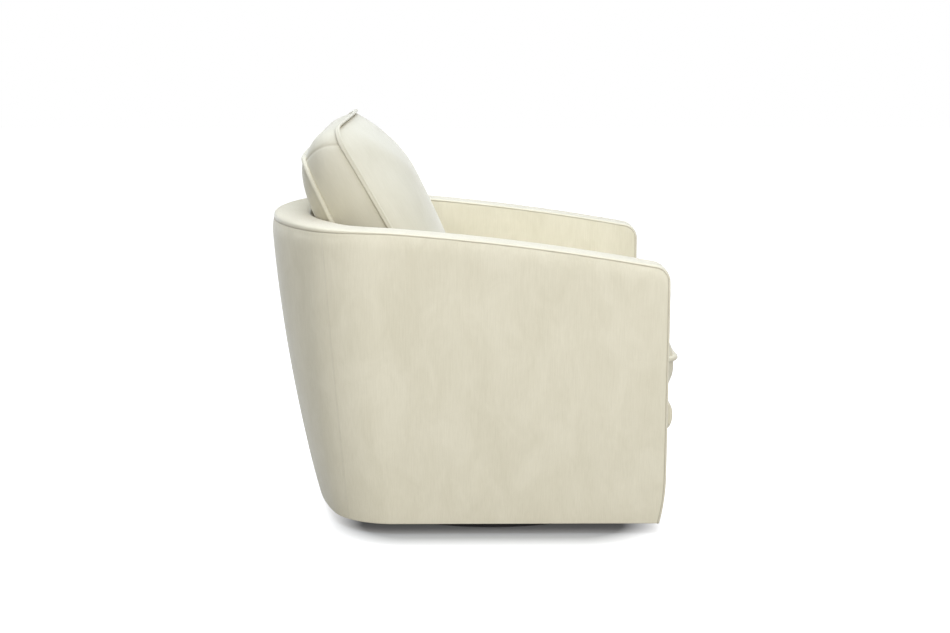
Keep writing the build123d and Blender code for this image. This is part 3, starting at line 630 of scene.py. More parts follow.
class CushionFace:
    """Face of a cushion: a flat outline and its crown, placed by an origin, a rise and a normal."""

    def __init__(self, outline, crown, origin, rise, normal, bow=0.0, half=1.0, tall=1.0):
        """Across is always the chair's own X direction, and the bow is greatest at the middle of the top."""
        self.corners, self.draws = outline
        self.crown = crown
        self.origin, self.rise, self.normal = np.array(origin), np.array(rise), np.array(normal)
        self.bow, self.half, self.tall = bow, half, tall

    def outline(self, spread=0.0):
        """Flat outline, moved outwards by a spread."""
        return soft_outline(self.corners, self.draws, spread)

    def direction(self, flat):
        """Direction in space of a flat direction of the face."""
        return flat[..., :1] * np.array([1.0, 0.0, 0.0]) + flat[..., 1:] * self.rise

    def points(self, flat, height=0.0):
        """Flat points of the face, lifted by a height and the bow: a parabola across that grows upwards."""
        across, up = flat[..., 0] / self.half, np.clip(flat[..., 1] / self.tall, 0, 1)
        lift = height + self.bow * (1 - across ** 2) * up
        return self.origin + self.direction(flat) + lift[..., None] * self.normal

    def edge(self, spread=0.0):
        """Edge of the face in space, moved outwards by a spread, with its outward directions."""
        flat = self.outline(spread)
        return self.points(flat), self.direction(outward(flat))

    def cap(self, slack, closeness=1.7):
        """Rings of the crowned face: the outline shrinks to its middle while it climbs a rounded slope.

        A slope is a fullness and a roundness. The second slope takes over towards one side of the face.
        """
        crown, edge = self.crown, self.outline()
        middle = np.mean([corner[:2] for corner in self.corners], axis=0)
        weight = towards(edge, middle, crown.side)
        step = np.linspace(0.0, 1.0, CAP_RINGS)[:, None] ** closeness
        rise, side_rise = (
            (1 - (1 - step) ** fullness) ** (1 / roundness)
            for fullness, roundness in (crown.slope, crown.side_slope)
        )
        rises = slack * crown.height * (rise * (1 - weight) + side_rise * weight)
        inner = np.array([0.75, 0.5, 0.25, 0.0])
        rises = np.concatenate([rises, np.broadcast_to(rises[-1], (len(inner), len(edge)))])
        shares = np.concatenate([1 - step[:, 0] * (1 - crown.flat), crown.flat * inner])
        return self.points(middle + (edge - middle) * shares[:, None, None], rises)


def towards(edge, middle, side):
    """Share of each point of an outline towards one side of its face, by a smooth step."""
    climb = side * (edge[:, 1] - middle[1])
    return smooth_step(climb / climb.max())


class CushionForm:
    """Boxed cushion: a front and a rear face, and a boxing between their edges."""

    def __init__(self, front, rear, swell, top_swell):
        """The boxing swells between the faces, by the top swell along the top."""
        self.front, self.rear, self.swell, self.top_swell = front, rear, swell, top_swell

    def rings(self, slack):
        """All rings from the middle of the rear face over the boxing to the middle of the front face."""
        (rear_edge, rear_out), (front_edge, front_out) = self.rear.edge(), self.front.edge()
        step = np.linspace(0.0, 1.0, BOXING_RINGS)[1:-1, None, None]
        out = rear_out + (front_out - rear_out) * step
        flat = self.front.outline()
        swell = self.swell + (self.top_swell - self.swell) * towards(flat, flat.mean(0), UPWARDS)
        bulge = slack * np.sin(np.pi * step) * swell[:, None] * out
        boxing = rear_edge + (front_edge - rear_edge) * step + bulge
        return np.concatenate([self.rear.cap(slack)[::-1], boxing, self.front.cap(slack)])

    def on_sides(self, points, normals, turned=0.45, fade=0.3):
        """Share of each point on the side boxing: between the two faces and turned to the side. It masks the
        painted shade of the side boxing.
        """
        under = (self.front.origin - points) @ self.front.normal
        over = (points - self.rear.origin) @ self.rear.normal
        between = smooth_step(under / EDGE_FADE) * smooth_step(over / EDGE_FADE)
        return between * smooth_step((np.abs(normals[:, 0]) - turned) / fade)

    def shoulder(self, corner, rear_shift=0, front_shift=0):
        """Ends of the plain seam across the boxing at a corner, and its outward direction.

        The shifts move an end along the outline from the middle of the corner, in points.
        """
        place = corner * (SIDE_POINTS + CORNER_POINTS) - CORNER_POINTS // 2
        (rear_edge, rear_out), (front_edge, front_out) = self.rear.edge(), self.front.edge()
        at_rear, at_front = place + rear_shift, place + front_shift
        return rear_edge[at_rear], front_edge[at_front], rear_out[at_rear] + front_out[at_front]


def seat_form(s):
    """Form of the seat cushion: drawn-in front and sides, a bellied rear and a flat underside."""

    def face(reach, level, crown):
        half = s.width / 2
        ahead = s.front_corner - reach
        behind = s.rear - s.rear_belly - s.rear_corner
        corners = [
            (s.front_corner - half, ahead, s.front_corner),
            (half - s.front_corner, ahead, s.front_corner),
            (half - s.rear_corner, behind, s.rear_corner),
            (s.rear_corner - half, behind, s.rear_corner),
        ]
        outline = corners, [s.draw, s.draw, -s.rear_belly, s.draw]
        return CushionFace(outline, crown, (0, 0, level), (0, 1, 0), (0, 0, 1))

    top = face(s.front, s.foot + s.boxing, Crown(s.crown, BROAD, SOFT, NOSE, FORWARDS))
    under = face(s.under_front, s.foot, Crown(-s.under, FLAT, SOFT, SOFT, FORWARDS))
    return CushionForm(top, under, s.boxing_swell, s.boxing_swell)


def back_form(s):
    """Form of the back cushion: a wedge with round shoulders, drawn-in sides and a top that bows forwards."""

    def face(key, corner, bow, crown):
        width, height, belly, foot, level, lean = (
            getattr(s, key + size) for size in ("width", "height", "belly", "foot", "level", "lean")
        )
        half = width / 2
        corners = [
            (s.foot_corner - half, s.foot_corner, s.foot_corner),
            (half - s.foot_corner, s.foot_corner, s.foot_corner),
            (half - corner, height - corner, corner),
            (corner - half, height - corner, corner),
        ]
        outline = corners, [s.draw, s.draw, -belly, s.draw]
        rise = (0, math.sin(lean), math.cos(lean))
        normal = (0, -math.cos(lean), math.sin(lean))
        return CushionFace(outline, crown, (0, foot, level), rise, normal, bow, half + s.welt, height)

    front = face("front_", s.corner, s.front_bow, Crown(s.front_crown, BROAD, SOFT, SLACK_TOP, UPWARDS))
    rear = face("rear_", s.rear_corner, 0.0, Crown(-s.rear_crown, BROAD, SOFT, SOFT, UPWARDS))
    return CushionForm(front, rear, s.boxing_swell, s.top_swell)


def distance_to_path(points, path):
    """Distance from each point to the nearest of a path's points, worked out in blocks of points."""
    blocks = np.array_split(points, len(points) // BLOCK + 1)
    lengths = (path ** 2).sum(1)
    squares = [((block ** 2).sum(1)[:, None] - 2 * block @ path.T + lengths).min(1) for block in blocks]
    return np.sqrt(np.clip(np.concatenate(squares), 0, None))


def distance_to_seam(points, start, end, out, steepness=3, side=0.04):
    """Distance from the upright plane of a plain seam, growing beyond its ends and away from its side."""
    span = end - start
    reach = np.linalg.norm(span)
    ahead = span / reach
    out = out - (out @ ahead) * ahead
    out = out / np.linalg.norm(out)
    offset = points - start
    along, away = offset @ ahead, np.abs(offset @ out)
    beyond = steepness * np.clip(np.maximum(-along, along - reach), 0, None)
    strayed = np.clip(away - side, 0, None)
    return np.sqrt((offset @ np.cross(ahead, out)) ** 2 + beyond ** 2 + strayed ** 2)


# Materials

def wire(tree, node, inputs):
    """Feeds a node: each input is another node's socket, which is linked, or a plain value, which is set."""
    for key, value in inputs.items():
        if isinstance(value, bpy.types.NodeSocket):
            tree.links.new(value, node.inputs[key])
        else:
            node.inputs[key].default_value = value
    return node


def add(tree, kind, inputs=None, **settings):
    """New node with its settings and its inputs."""
    node = tree.nodes.new(kind)
    for key, value in settings.items():
        setattr(node, key, value)
    return wire(tree, node, inputs or {})


def ramp(tree, source, low, high, out_low=0.0, out_high=1.0):
    """Value moved from one range to another, held at the ends."""
    inputs = {"Value": source, "From Min": low, "From Max": high, "To Min": out_low, "To Max": out_high}
    return add(tree, "ShaderNodeMapRange", inputs).outputs["Result"]


def arithmetic(tree, operation, first, second):
    """One step of arithmetic between sockets or numbers."""
    return add(tree, "ShaderNodeMath", {0: first, 1: second}, operation=operation).outputs[0]


def vector_step(tree, operation, first, second=(0.0, 0.0, 0.0)):
    """One step of vector arithmetic between sockets or vectors."""
    return add(tree, "ShaderNodeVectorMath", {0: first, 1: second}, operation=operation).outputs[0]


def noise(tree, place, **inputs):
    """Value of a noise texture at a place."""
    return add(tree, "ShaderNodeTexNoise", {"Vector": place, **inputs}).outputs["Fac"]


def relief(tree, height, strong, deep):
    """Normal bent by a height."""
    inputs = {"Height": height, "Strength": strong, "Distance": deep}
    return add(tree, "ShaderNodeBump", inputs).outputs["Normal"]


def mixed(tree, mask, first, second):
    """Colour between two colours, each a socket or a plain colour."""
    node = add(tree, "ShaderNodeMix", {"Factor": mask}, data_type="RGBA")
    for key, value in (("A", first), ("B", second)):
        number = next(i for i, item in enumerate(node.inputs) if item.name == key and item.type == "RGBA")
        wire(tree, node, {number: value if isinstance(value, bpy.types.NodeSocket) else (*value, 1.0)})
    return next(item for item in node.outputs if item.type == "RGBA")


def new_group(name, inputs, outputs):
    """Shader node group with a vector input, number inputs and number outputs, and its end nodes."""
    group = bpy.data.node_groups.new(name, "ShaderNodeTree")
    group.interface.new_socket(name="Vector", in_out="INPUT", socket_type="NodeSocketVector")
    for label, default in inputs.items():
        socket = group.interface.new_socket(name=label, in_out="INPUT", socket_type="NodeSocketFloat")
        socket.default_value = default
    for label in outputs:
        group.interface.new_socket(name=label, in_out="OUTPUT", socket_type="NodeSocketFloat")
    return group, group.nodes.new("NodeGroupInput").outputs, group.nodes.new("NodeGroupOutput")


def pile_group():
    """Velvet pile: slubs, brushed patches and fine fibre, from coordinates whose Z runs along the nap."""
    sizes = {"Slub Width": 0.0024, "Slub Length": 0.045, "Patch Size": 0.07}
    group, start, end = new_group("velvet_pile", sizes, ("Slub", "Patch", "Height"))
    place = start["Vector"]
    across, along, patches = (arithmetic(group, "DIVIDE", 1.0, start[label]) for label in sizes)
    scale = add(group, "ShaderNodeCombineXYZ", {"X": across, "Y": across, "Z": along}).outputs[0]
    slub = noise(group, vector_step(group, "MULTIPLY", place, scale), Scale=1.0, Detail=3.0, Roughness=0.6)
    flat = vector_step(group, "MULTIPLY", place, (1.0, 1.0, 0.6))
    patch = noise(group, flat, Scale=patches, Detail=4.0, Roughness=0.62, Distortion=0.6)
    fibre = noise(group, place, Scale=1500.0, Detail=1.0)
    coarse = noise(group, place, Scale=420.0, Detail=2.0)
    height = fibre
    for layer, share_of_height in ((slub, 0.9), (coarse, 0.6)):
        raised = arithmetic(group, "MULTIPLY", layer, share_of_height)
        height = arithmetic(group, "ADD", height, raised)
    slubs, brushed = ramp(group, slub, *NOISE_SPAN), ramp(group, patch, *PATCH_SPAN)
    wire(group, end, {"Slub": slubs, "Patch": brushed, "Height": height})
    return group


def grain_group():
    """Grain for hard and plain finishes: long streaks along X and fine specks."""
    group, start, end = new_group("fine_grain", {"Scale": 60.0, "Stretch": 0.08}, ("Streak", "Speck"))
    scale = add(group, "ShaderNodeCombineXYZ", {"X": start["Stretch"], "Y": 1.0, "Z": 1.0}).outputs[0]
    stretched = vector_step(group, "MULTIPLY", start["Vector"], scale)
    streak = noise(group, stretched, Scale=start["Scale"], Detail=6.0)
    speck = noise(group, start["Vector"], Scale=900.0, Detail=2.0)
    wire(group, end, {"Streak": ramp(group, streak, *NOISE_SPAN), "Speck": speck})
    return group


def new_material(name):
    """Empty node material: its node tree, its shader and its object coordinates."""
    material = bpy.data.materials.new(name)
    material.use_nodes = True
    tree = material.node_tree
    tree.nodes.clear()
    shader = add(tree, "ShaderNodeBsdfPrincipled")
    add(tree, "ShaderNodeOutputMaterial", {"Surface": shader.outputs["BSDF"]})
    return tree, shader, add(tree, "ShaderNodeTexCoord").outputs["Object"]


def scaled(tint, *factors):
    """Colour times a factor, or times one factor for each of its parts."""
    return tuple(value * factor for value, factor in zip(tint, factors * 3 if len(factors) == 1 else factors))


def velvet(name, pile, colours, nap=(0.0, 0.0, 0.0), patches=0.5, slubs=0.4, painted_light=WHITE, sheen=1.0):
    """Cream velvet whose nap is turned to a direction, with painted shade in its seams, pile colours scaled
    by a painted light factor, and soft sheen.
    """
    tree, shader, place = new_material(name)
    mapping = add(tree, "ShaderNodeMapping", {"Vector": place, "Rotation": nap})
    cloth = add(tree, "ShaderNodeGroup", {"Vector": mapping.outputs["Vector"]}, node_tree=pile).outputs
    brushed = arithmetic(tree, "MULTIPLY", cloth["Patch"], patches)
    drawn = arithmetic(tree, "MULTIPLY", cloth["Slub"], slubs)
    shade = arithmetic(tree, "ADD", brushed, drawn)
    # Painted light: the pile colours are scaled by this copy's painted light factor
    base = mixed(tree, shade, scaled(colours.velvet, *painted_light), scaled(colours.velvet_shade, *painted_light))
    # Painted shade: the seam attribute darkens the velvet towards the seam colour
    seam = add(tree, "ShaderNodeAttribute", attribute_name="seam").outputs["Fac"]
    wire(tree, shader, {
        "Base Color": mixed(tree, seam, base, colours.seam),
        "Roughness": ramp(tree, cloth["Patch"], 0.0, 1.0, out_low=0.78, out_high=0.92),
        "Normal": relief(tree, cloth["Height"], strong=0.28, deep=0.0006),
        "Specular IOR Level": 0.15,
        "Sheen Weight": sheen,
        "Sheen Roughness": 0.3,
        "Sheen Tint": (1.0, 0.99, 0.97, 1.0),
    })


def plain_finish(name, grain, base, shade, rough, metallic=0.0, scale=60.0, stretch=0.08, strong=0.12):
    """Finish with grain: two close colours along streaks, speckled roughness and slight relief."""
    tree, shader, place = new_material(name)
    inputs = {"Vector": place, "Scale": scale, "Stretch": stretch}
    figure = add(tree, "ShaderNodeGroup", inputs, node_tree=grain).outputs
    spread = 0.08
    wire(tree, shader, {
        "Base Color": mixed(tree, figure["Streak"], scaled(base, shade), base),
        "Roughness": ramp(tree, figure["Speck"], *NOISE_SPAN, rough - spread, rough + spread),
        "Normal": relief(tree, figure["Speck"], strong, deep=0.0005),
        "Metallic": metallic,
    })


def woven(name, grain, base, pitch):
    """Plain weave: crossed sine ridges in both directions over a speckled thread colour."""
    tree, shader, place = new_material(name)
    speck = add(tree, "ShaderNodeGroup", {"Vector": place}, node_tree=grain).outputs["Speck"]
    inputs = {"Vector": place, "Scale": 1.0 / (pitch * 2 * math.pi)}
    warp, weft = (
        add(tree, "ShaderNodeTexWave", inputs, bands_direction=direction).outputs["Fac"] for direction in "XY"
    )
    height = arithmetic(tree, "MULTIPLY", warp, weft)
    wire(tree, shader, {
        "Base Color": mixed(tree, arithmetic(tree, "MULTIPLY", height, speck), scaled(base, 0.6), base),
        "Roughness": ramp(tree, speck, *NOISE_SPAN, out_low=0.8, out_high=0.95),
        "Normal": relief(tree, height, strong=0.4, deep=0.0004),
        "Specular IOR Level": 0.1,
    })


def finish_named(name):
    """Material made before."""
    return bpy.data.materials[name]


def bind(piece, body, slot, *nodes):
    """Gives a piece the body it rides on and hides the nodes it stands for; the slot is not used."""
    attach(piece, body)
    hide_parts(*nodes)


def dress(piece, finish, body, slot, *nodes):
    """Gives a piece its finish and binds it."""
    piece.data.materials.append(finish_named(finish))
    bind(piece, body, slot, *nodes)


# Operators

class ChairFinishes(bpy.types.Operator):
    """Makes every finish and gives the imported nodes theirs"""

    bl_idname = "chair.finishes"
    bl_label = "Finishes"

    def execute(self, context):
        c = context.scene.chair_colours
        pile, grain = pile_group(), grain_group()
        lying, leaning = (math.pi / 2, 0.0, 0.0), (context.scene.chair_back.front_lean, 0.0, 0.0)
        # Painted light: the outside panels' velvet is 1.5% lighter than the plain velvet
        velvet("velvet_upright", pile, c, painted_light=(1.015, 1.015, 1.015), sheen=0.6)
        # Painted light: the inside pads' velvet is 6% lighter than the plain velvet
        velvet("velvet_inside", pile, c, painted_light=(1.06, 1.06, 1.06))
        velvet("velvet_band", pile, c, lying, patches=0.3, slubs=0.2, sheen=0.8)
        velvet("velvet_level", pile, c, lying, patches=0.4, slubs=0.3)
        # Painted shade: the back cushion's velvet is darker and cooler than the plain velvet
        painted_cushion_shade = (0.91, 0.925, 0.96)
        velvet("velvet_leaning", pile, c, leaning, patches=0.35, slubs=0.3, painted_light=painted_cushion_shade, sheen=0.6)
        woven("lining", grain, c.lining, pitch=0.0012)
        woven("deck_weave", grain, c.deck, pitch=0.0016)
        metal = {"metallic": 1.0, "scale": 200.0, "stretch": 0.03, "strong": 0.05}
        plain_finish("felt", grain, c.felt, shade=0.6, rough=0.9, scale=300.0, stretch=1.0, strong=0.5)
        plain_finish("foam", grain, c.foam, shade=0.9, rough=0.9, scale=500.0, stretch=1.0, strong=0.6)
        plain_finish("plinth_black", grain, c.plinth, shade=0.6, rough=0.5, scale=90.0)
        plain_finish("timber", grain, c.timber, shade=0.72, rough=0.65, scale=70.0, stretch=0.06)
        plain_finish("steel", grain, c.steel, shade=0.88, rough=0.32, **metal)
        plain_finish("bronze", grain, c.bronze, shade=0.85, rough=0.35, **metal)
        moulded = {"scale": 300.0, "stretch": 1.0, "strong": 0.08}
        plain_finish("cage_plastic", grain, c.cage, shade=0.9, rough=0.5, **moulded)
        for row in frame["record"]["subparts"]:
            slot = row["material_slot"]
            materials = frame["nodes"][row["node"]].data.materials
            materials.clear()
            materials.append(finish_named("velvet_upright" if slot == "velvet" else slot))
        return {"FINISHED"}


class ChairOutsidePanels(bpy.types.Operator):
    """Outside arm and outside back panels, turned into their seams and under the hem"""

    bl_idname = "chair.outside_panels"
    bl_label = "Outside panels"

    def execute(self, context):
        tub = Tub(context.scene)
        for side in SIDES:
            self.arm(tub, side)
        self.back(tub)
        return {"FINISHED"}

    def heights(self, tub, top):
        """Heights of a panel's points, row by row from the hem to its upper edge."""
        return tub.sizes.skirt + (top - tub.sizes.skirt) * edged(PANEL_ROWS, closeness=0.85)[:, None]

    def arm(self, tub, side):
        """Arm panel: from the upright seam round to the arm front."""
        setback = tub.sewing.front_seam
        beside_seam = [0.0, 0.006]
        around = np.concatenate([beside_seam, np.linspace(0.03, 1.0, num=24)[:-1]])
        straight = front_shares()
        bend = np.concatenate([around, np.ones(len(straight))])
        run = np.concatenate([np.zeros(len(around)), straight])

        def place_at(z):
            start, corner_y = tub.seam_place(z), tub.plan(z).corner_y
            reach = (tub.front(z, setback) - corner_y) / (tub.front(z, 0.0) - corner_y)
            return start + (2 - start) * bend + run * reach

        top = tub.settle_top(place_at, bend.shape, 0.0, tub.arm_top)
        z = self.heights(tub, top)
        place, plan = place_at(z), tub.plan(z)
        y = tub.wall(place, z, 0.0)[1]
        round_corner = plan.corner * plan.join * np.clip(2 - tub.seam_place(z), 0, None) * bend
        from_seam = round_corner + np.clip(plan.corner_y - y, 0, None)
        from_front = y - tub.front(z, setback)
        self.panel(tub, "outside_arm_" + side, SIDES[side], place, z, top - z, from_front, from_seam)

    def back(self, tub):
        """Back panel: from one upright seam across the back to the other."""
        near_seam = 0.998
        across = np.concatenate([[-1.0], (2 * edged(count=201, closeness=0.5) - 1) * near_seam, [1.0]])

        def lengths(z):
            plan = tub.plan(z)
            corner = plan.corner * plan.join
            return plan.back * (np.pi / 2 - plan.join), corner * (tub.seam_place(z) - 1), corner

        def place_at(z):
            flat, bent, corner = lengths(z)
            along = np.abs(across) * (flat + bent)
            return np.where(along < flat, along / flat, 1 + (along - flat) / corner)

        top = tub.settle_top(place_at, across.shape, 0.0, tub.back_top)
        z = self.heights(tub, top)
        from_seam = (1 - np.abs(across)) * sum(lengths(z)[:2])
        sides = np.where(across < 0, -1.0, 1.0)
        self.panel(tub, "outside_back", sides, place_at(z), z, top - z, np.full(z.shape, FAR), from_seam)

    def panel(self, tub, node, side, place, z, from_top, from_front, from_seam):
        """Pad on the wall: its face sinks into each seam by a quarter circle and swells between them."""
        s, sewing = tub.sizes, tub.sewing
        from_hem, sewn = z - s.skirt, np.minimum(from_top, from_front)
        depth = tub.lip(from_top) + rolled(from_top, sewing.seam_roll) + rolled(from_front, sewing.seam_roll)
        depth = depth + rolled(from_seam, sewing.plain_roll) + rolled(from_hem, sewing.hem_roll)
        x, y = tub.wall(place, z, 0.0)
        gather = soft_noise(y + x, z, *PANEL_GATHER) * np.exp(-from_top / PANEL_FADE)
        wave = 0.5 * soft_noise(y - x, z, *PANEL_WAVE) * (sewn > 0)
        swell = sewing.pillow * (1 - np.exp(-np.minimum(sewn, from_hem) / PILLOW_FADE))
        insets = depth - swell - sewing.pucker * (gather + wave), s.outer_pad - SKIN
        # Painted shade along the band's seams and the upright seam
        seam = np.maximum(seam_mark(sewn, *BAND_SEAM), seam_mark(from_seam, *UPRIGHT_SEAM))
        tub.pad(node + "_panel", node, "velvet_upright", side, place, z, insets, seam, fill=0.9)


class ChairRimBand(bpy.types.Operator):
    """Padded band up the arm fronts, over the arms and round the back"""

    bl_idname = "chair.rim_band"
    bl_label = "Rim band"

    def execute(self, context):
        tub = Tub(context.scene)
        phi = np.linspace(0.0, np.pi, PROFILE_POINTS)
        squareness, tucked, mark_width = 0.5, 1.4, 0.16
        over = np.sign(np.cos(phi)) * np.abs(np.cos(phi)) ** squareness
        fall = 1 - np.sin(phi) ** squareness
        across = np.concatenate([(1 - over) / 2, [0.95, 0.5, 0.05]])
        height = np.concatenate([fall, np.full(TUCKED_POINTS, tucked)])
        # Painted shade along both edges of the band and on its tucked underside
        deepest = BAND_SEAM[1]
        seam = np.concatenate([seam_mark(1 - fall, mark_width, deepest), np.full(TUCKED_POINTS, deepest)])
        half_ring = np.concatenate([part(tub, across, height) for part in (self.arm_part, self.back_part)])
        rings = np.concatenate([half_ring, half_ring[-2::-1] * np.array([-1.0, 1.0, 1.0])])
        piece = new_tube("rim_band", rings, np.broadcast_to(seam, rings.shape[:2]))
        dress(piece, "velvet_band", "chair", "velvet", "arm_band_left", "arm_band_right", "back_band")
        return {"FINISHED"}

    def arm_part(self, tub, across, height):
        """Band from the foot of the arm front to the end of the straight side, as rings of the profile."""
        s, sewing = tub.sizes, tub.sewing
        level_end, below_rim = 0.15, 0.02
        hub_y, hub_z, lean = tub.corner(0.0, sewing.rim_crest, s.arm_corner)
        up = s.skirt + (hub_z - s.skirt) * np.linspace(0.0, 1.0, num=80)
        angle = np.pi - (np.pi / 2 - lean) * np.linspace(0.0, 1.0, num=24)[1:]
        touch = hub_y + s.arm_corner * math.cos(math.pi / 2 + lean)
        end = float(tub.plan(np.array(s.rim_height - below_rim)).corner_y)
        along = touch + (end - touch) * np.linspace(0.0, 1.0, num=90)[1:]
        y = np.concatenate([tub.front(up, 0.0), hub_y + s.arm_corner * np.cos(angle), along])
        z = np.concatenate([up, hub_z + s.arm_corner * np.sin(angle), tub.rim(along) - tub.crest(along)])
        slope = tub.rim_slope(along) * np.clip((end - along) / level_end, 0, 1)
        steep = np.sqrt(1 + slope ** 2)
        normal_y = np.concatenate([-np.ones(len(up)), np.cos(angle), -slope / steep])
        normal_z = np.concatenate([np.zeros(len(up)), np.sin(angle), 1 / steep])
        turned = np.linspace(0, 1, len(angle))
        corner_drop = sewing.front_seam + (sewing.rim_seam - sewing.rim_crest - sewing.front_seam) * turned
        along_drop = tub.seam_drop(along) - tub.crest(along)
        drop = np.concatenate([np.full(len(up), sewing.front_seam), corner_drop, along_drop])
        fall = drop[:, None] * height
        ring_y = y[:, None] - normal_y[:, None] * fall
        ring_z = z[:, None] - normal_z[:, None] * fall
        lip = np.concatenate([tub.lip(hub_z - up), np.full(len(angle) + len(along), sewing.lip)])[:, None]
        return stacked(tub.plan(ring_z).half - lip - (s.wall - lip) * across, ring_y, ring_z)

    def back_part(self, tub, across, height):
        """Band round the corner and across to the middle of the back, settled by repeated substitution."""
        s, sewing = tub.sizes, tub.sewing
        place = np.concatenate([np.linspace(2.0, 1.0, num=40)[1:-1], np.linspace(1.0, 0.0, num=64)])[:, None]
        inset = sewing.lip + (s.wall - sewing.lip) * across
        z = np.full((len(place), len(inset)), s.rim_height)
        for _ in range(BAND_STEPS):
            y = tub.wall(place, z, inset)[1]
            z = tub.rim(y) - tub.crest(y) - (tub.seam_drop(y) - tub.crest(y)) * height
        return stacked(*tub.wall(place, z, inset), z)


class ChairInsidePads(bpy.types.Operator):
    """Inside arm and inside back pads, from the seat deck up to the rim band"""

    bl_idname = "chair.inside_pads"
    bl_label = "Inside pads"

    def execute(self, context):
        tub = Tub(context.scene)
        s, setback = tub.sizes, tub.sewing.front_seam
        above_toe, join_gap, half_back = 0.5, 0.0004, 0.42
        rows = edged(PAD_ROWS, closeness=0.8)[:, None]
        for side, sign in SIDES.items():
            y = s.pad_join + (tub.front(above_toe, setback) - s.pad_join) * front_shares()
            top = tub.arm_top(y)
            z = s.pad_foot + (top - s.pad_foot) * rows
            y = np.broadcast_to(y, z.shape)
            edges = top - z, y - tub.front(z, setback), s.pad_join - y
            self.pad(tub, "inside_arm_" + side, sign, self.straight_place(tub, y, z), z, *edges)
        across = 2 * edged(count=221, closeness=0.3) - 1

        def place_at(z):
            return np.abs(across) * self.straight_place(tub, s.pad_join + join_gap, z)

        top = tub.settle_top(place_at, across.shape, s.wall, tub.back_top)
        z = s.pad_foot + (top - s.pad_foot) * rows
        edges = top - z, np.full(z.shape, FAR), (1 - np.abs(across)) * np.full(z.shape, half_back)
        self.pad(tub, "inside_back", np.where(across < 0, -1.0, 1.0), place_at(z), z, *edges)
        return {"FINISHED"}

    def straight_place(self, tub, y, z):
        """Place on the straight side at a depth along the chair."""
        corner_y = tub.plan(z).corner_y
        return 2 + (y - corner_y) / (tub.front(z, 0.0) - corner_y)

    def pad(self, tub, node, side, place, z, from_top, from_front, from_join):
        """Pad on the inner side of the wall: its face sinks into the seams and swells above the seat."""
        s, sewing = tub.sizes, tub.sewing
        seat_level, seat_fade, fullness = 0.42, 0.06, 1.6
        sewn = np.minimum(from_top, from_front)
        depth = rolled(from_top, sewing.seam_roll) + rolled(from_front, sewing.seam_roll)
        depth = depth + rolled(from_join, sewing.plain_roll)
        above = np.clip((z - seat_level) / seat_fade, 0, 1)
        swell = fullness * sewing.pillow * (1 - np.exp(-np.minimum(sewn, from_join) / PILLOW_FADE)) * above
        x, y = tub.wall(place, z, s.wall)
        gather = soft_noise(y + x, z, *PAD_GATHER) * np.exp(-from_top / PAD_FADE)
        insets = s.wall - depth + swell + sewing.pucker * gather, s.wall - s.inner_pad + SKIN
        # Painted shade along the band's seams and the join of arm and back pads
        seam = np.maximum(seam_mark(sewn, *BAND_SEAM), seam_mark(from_join, *JOIN_SEAM))
        tub.pad(node + "_pad", node, "velvet_inside", side, place, z, insets, seam, fill=0.8)


class ChairFrontBorder(bpy.types.Operator):
    """Front border with its padded roll under the seat cushion"""

    bl_idname = "chair.front_border"
    bl_label = "Front border"

    def execute(self, context):
        tub = Tub(context.scene)
        s = tub.sizes
        fold, fold_fade, foot_roll, side_roll, flatness = 0.002, 0.006, 0.003, 0.006, 0.6
        gather_height, gather_fade = 0.0006, 0.012
        foot_gap, rear_gap, rear_margin = 0.002, 0.0002, 0.001
        foot = s.skirt + foot_gap
        lower_z = foot + (s.crease - foot) * np.linspace(0.0, 1.0, num=40)
        lower_y = tub.front(lower_z, s.border_setback) + fold * np.exp(-(s.crease - lower_z) / fold_fade)
        lower_y = lower_y + rolled(lower_z - foot, foot_roll)
        sweep = np.linspace(0.0, np.pi, num=40)[1:]
        middle, half_roll = (s.crease + s.deck_top) / 2, (s.deck_top - s.crease) / 2
        bulge = s.roll_reach - s.arm_front + s.border_setback
        roll_z = middle - half_roll * np.cos(sweep)
        roll_y = s.border_setback - s.arm_front + fold - (bulge + fold) * np.sin(sweep) ** flatness
        rear = s.border_rear + rear_gap
        profile_y = np.concatenate([lower_y, roll_y, [rear, rear, rear]])
        profile_z = np.concatenate([lower_z, roll_z, [s.deck_top - SKIN, middle, foot]])
        marks = np.zeros(len(profile_z))
        # Painted shade in the crease under the roll
        marks[:len(lower_z)] = seam_mark(s.crease - lower_z, *CREASE_SEAM)
        across = 2 * edged(count=121, closeness=0.9)[:, None] - 1
        width = tub.plan(profile_z).half - s.wall - PLAY
        x = across * width
        near_crease = np.exp(-np.abs(profile_z - s.crease) / gather_fade)
        gather = gather_height * near_crease * soft_noise(x, profile_z, *BORDER_GATHER)
        tuck = rolled((1 - np.abs(across)) * width, side_roll)
        y = profile_y + (gather + tuck) * (profile_y < rear - rear_margin)
        piece = new_tube("front_border_roll", stacked(x, y, profile_z), np.broadcast_to(marks, x.shape))
        dress(piece, "velvet_upright", "chair", "velvet", "front_border")
        return {"FINISHED"}


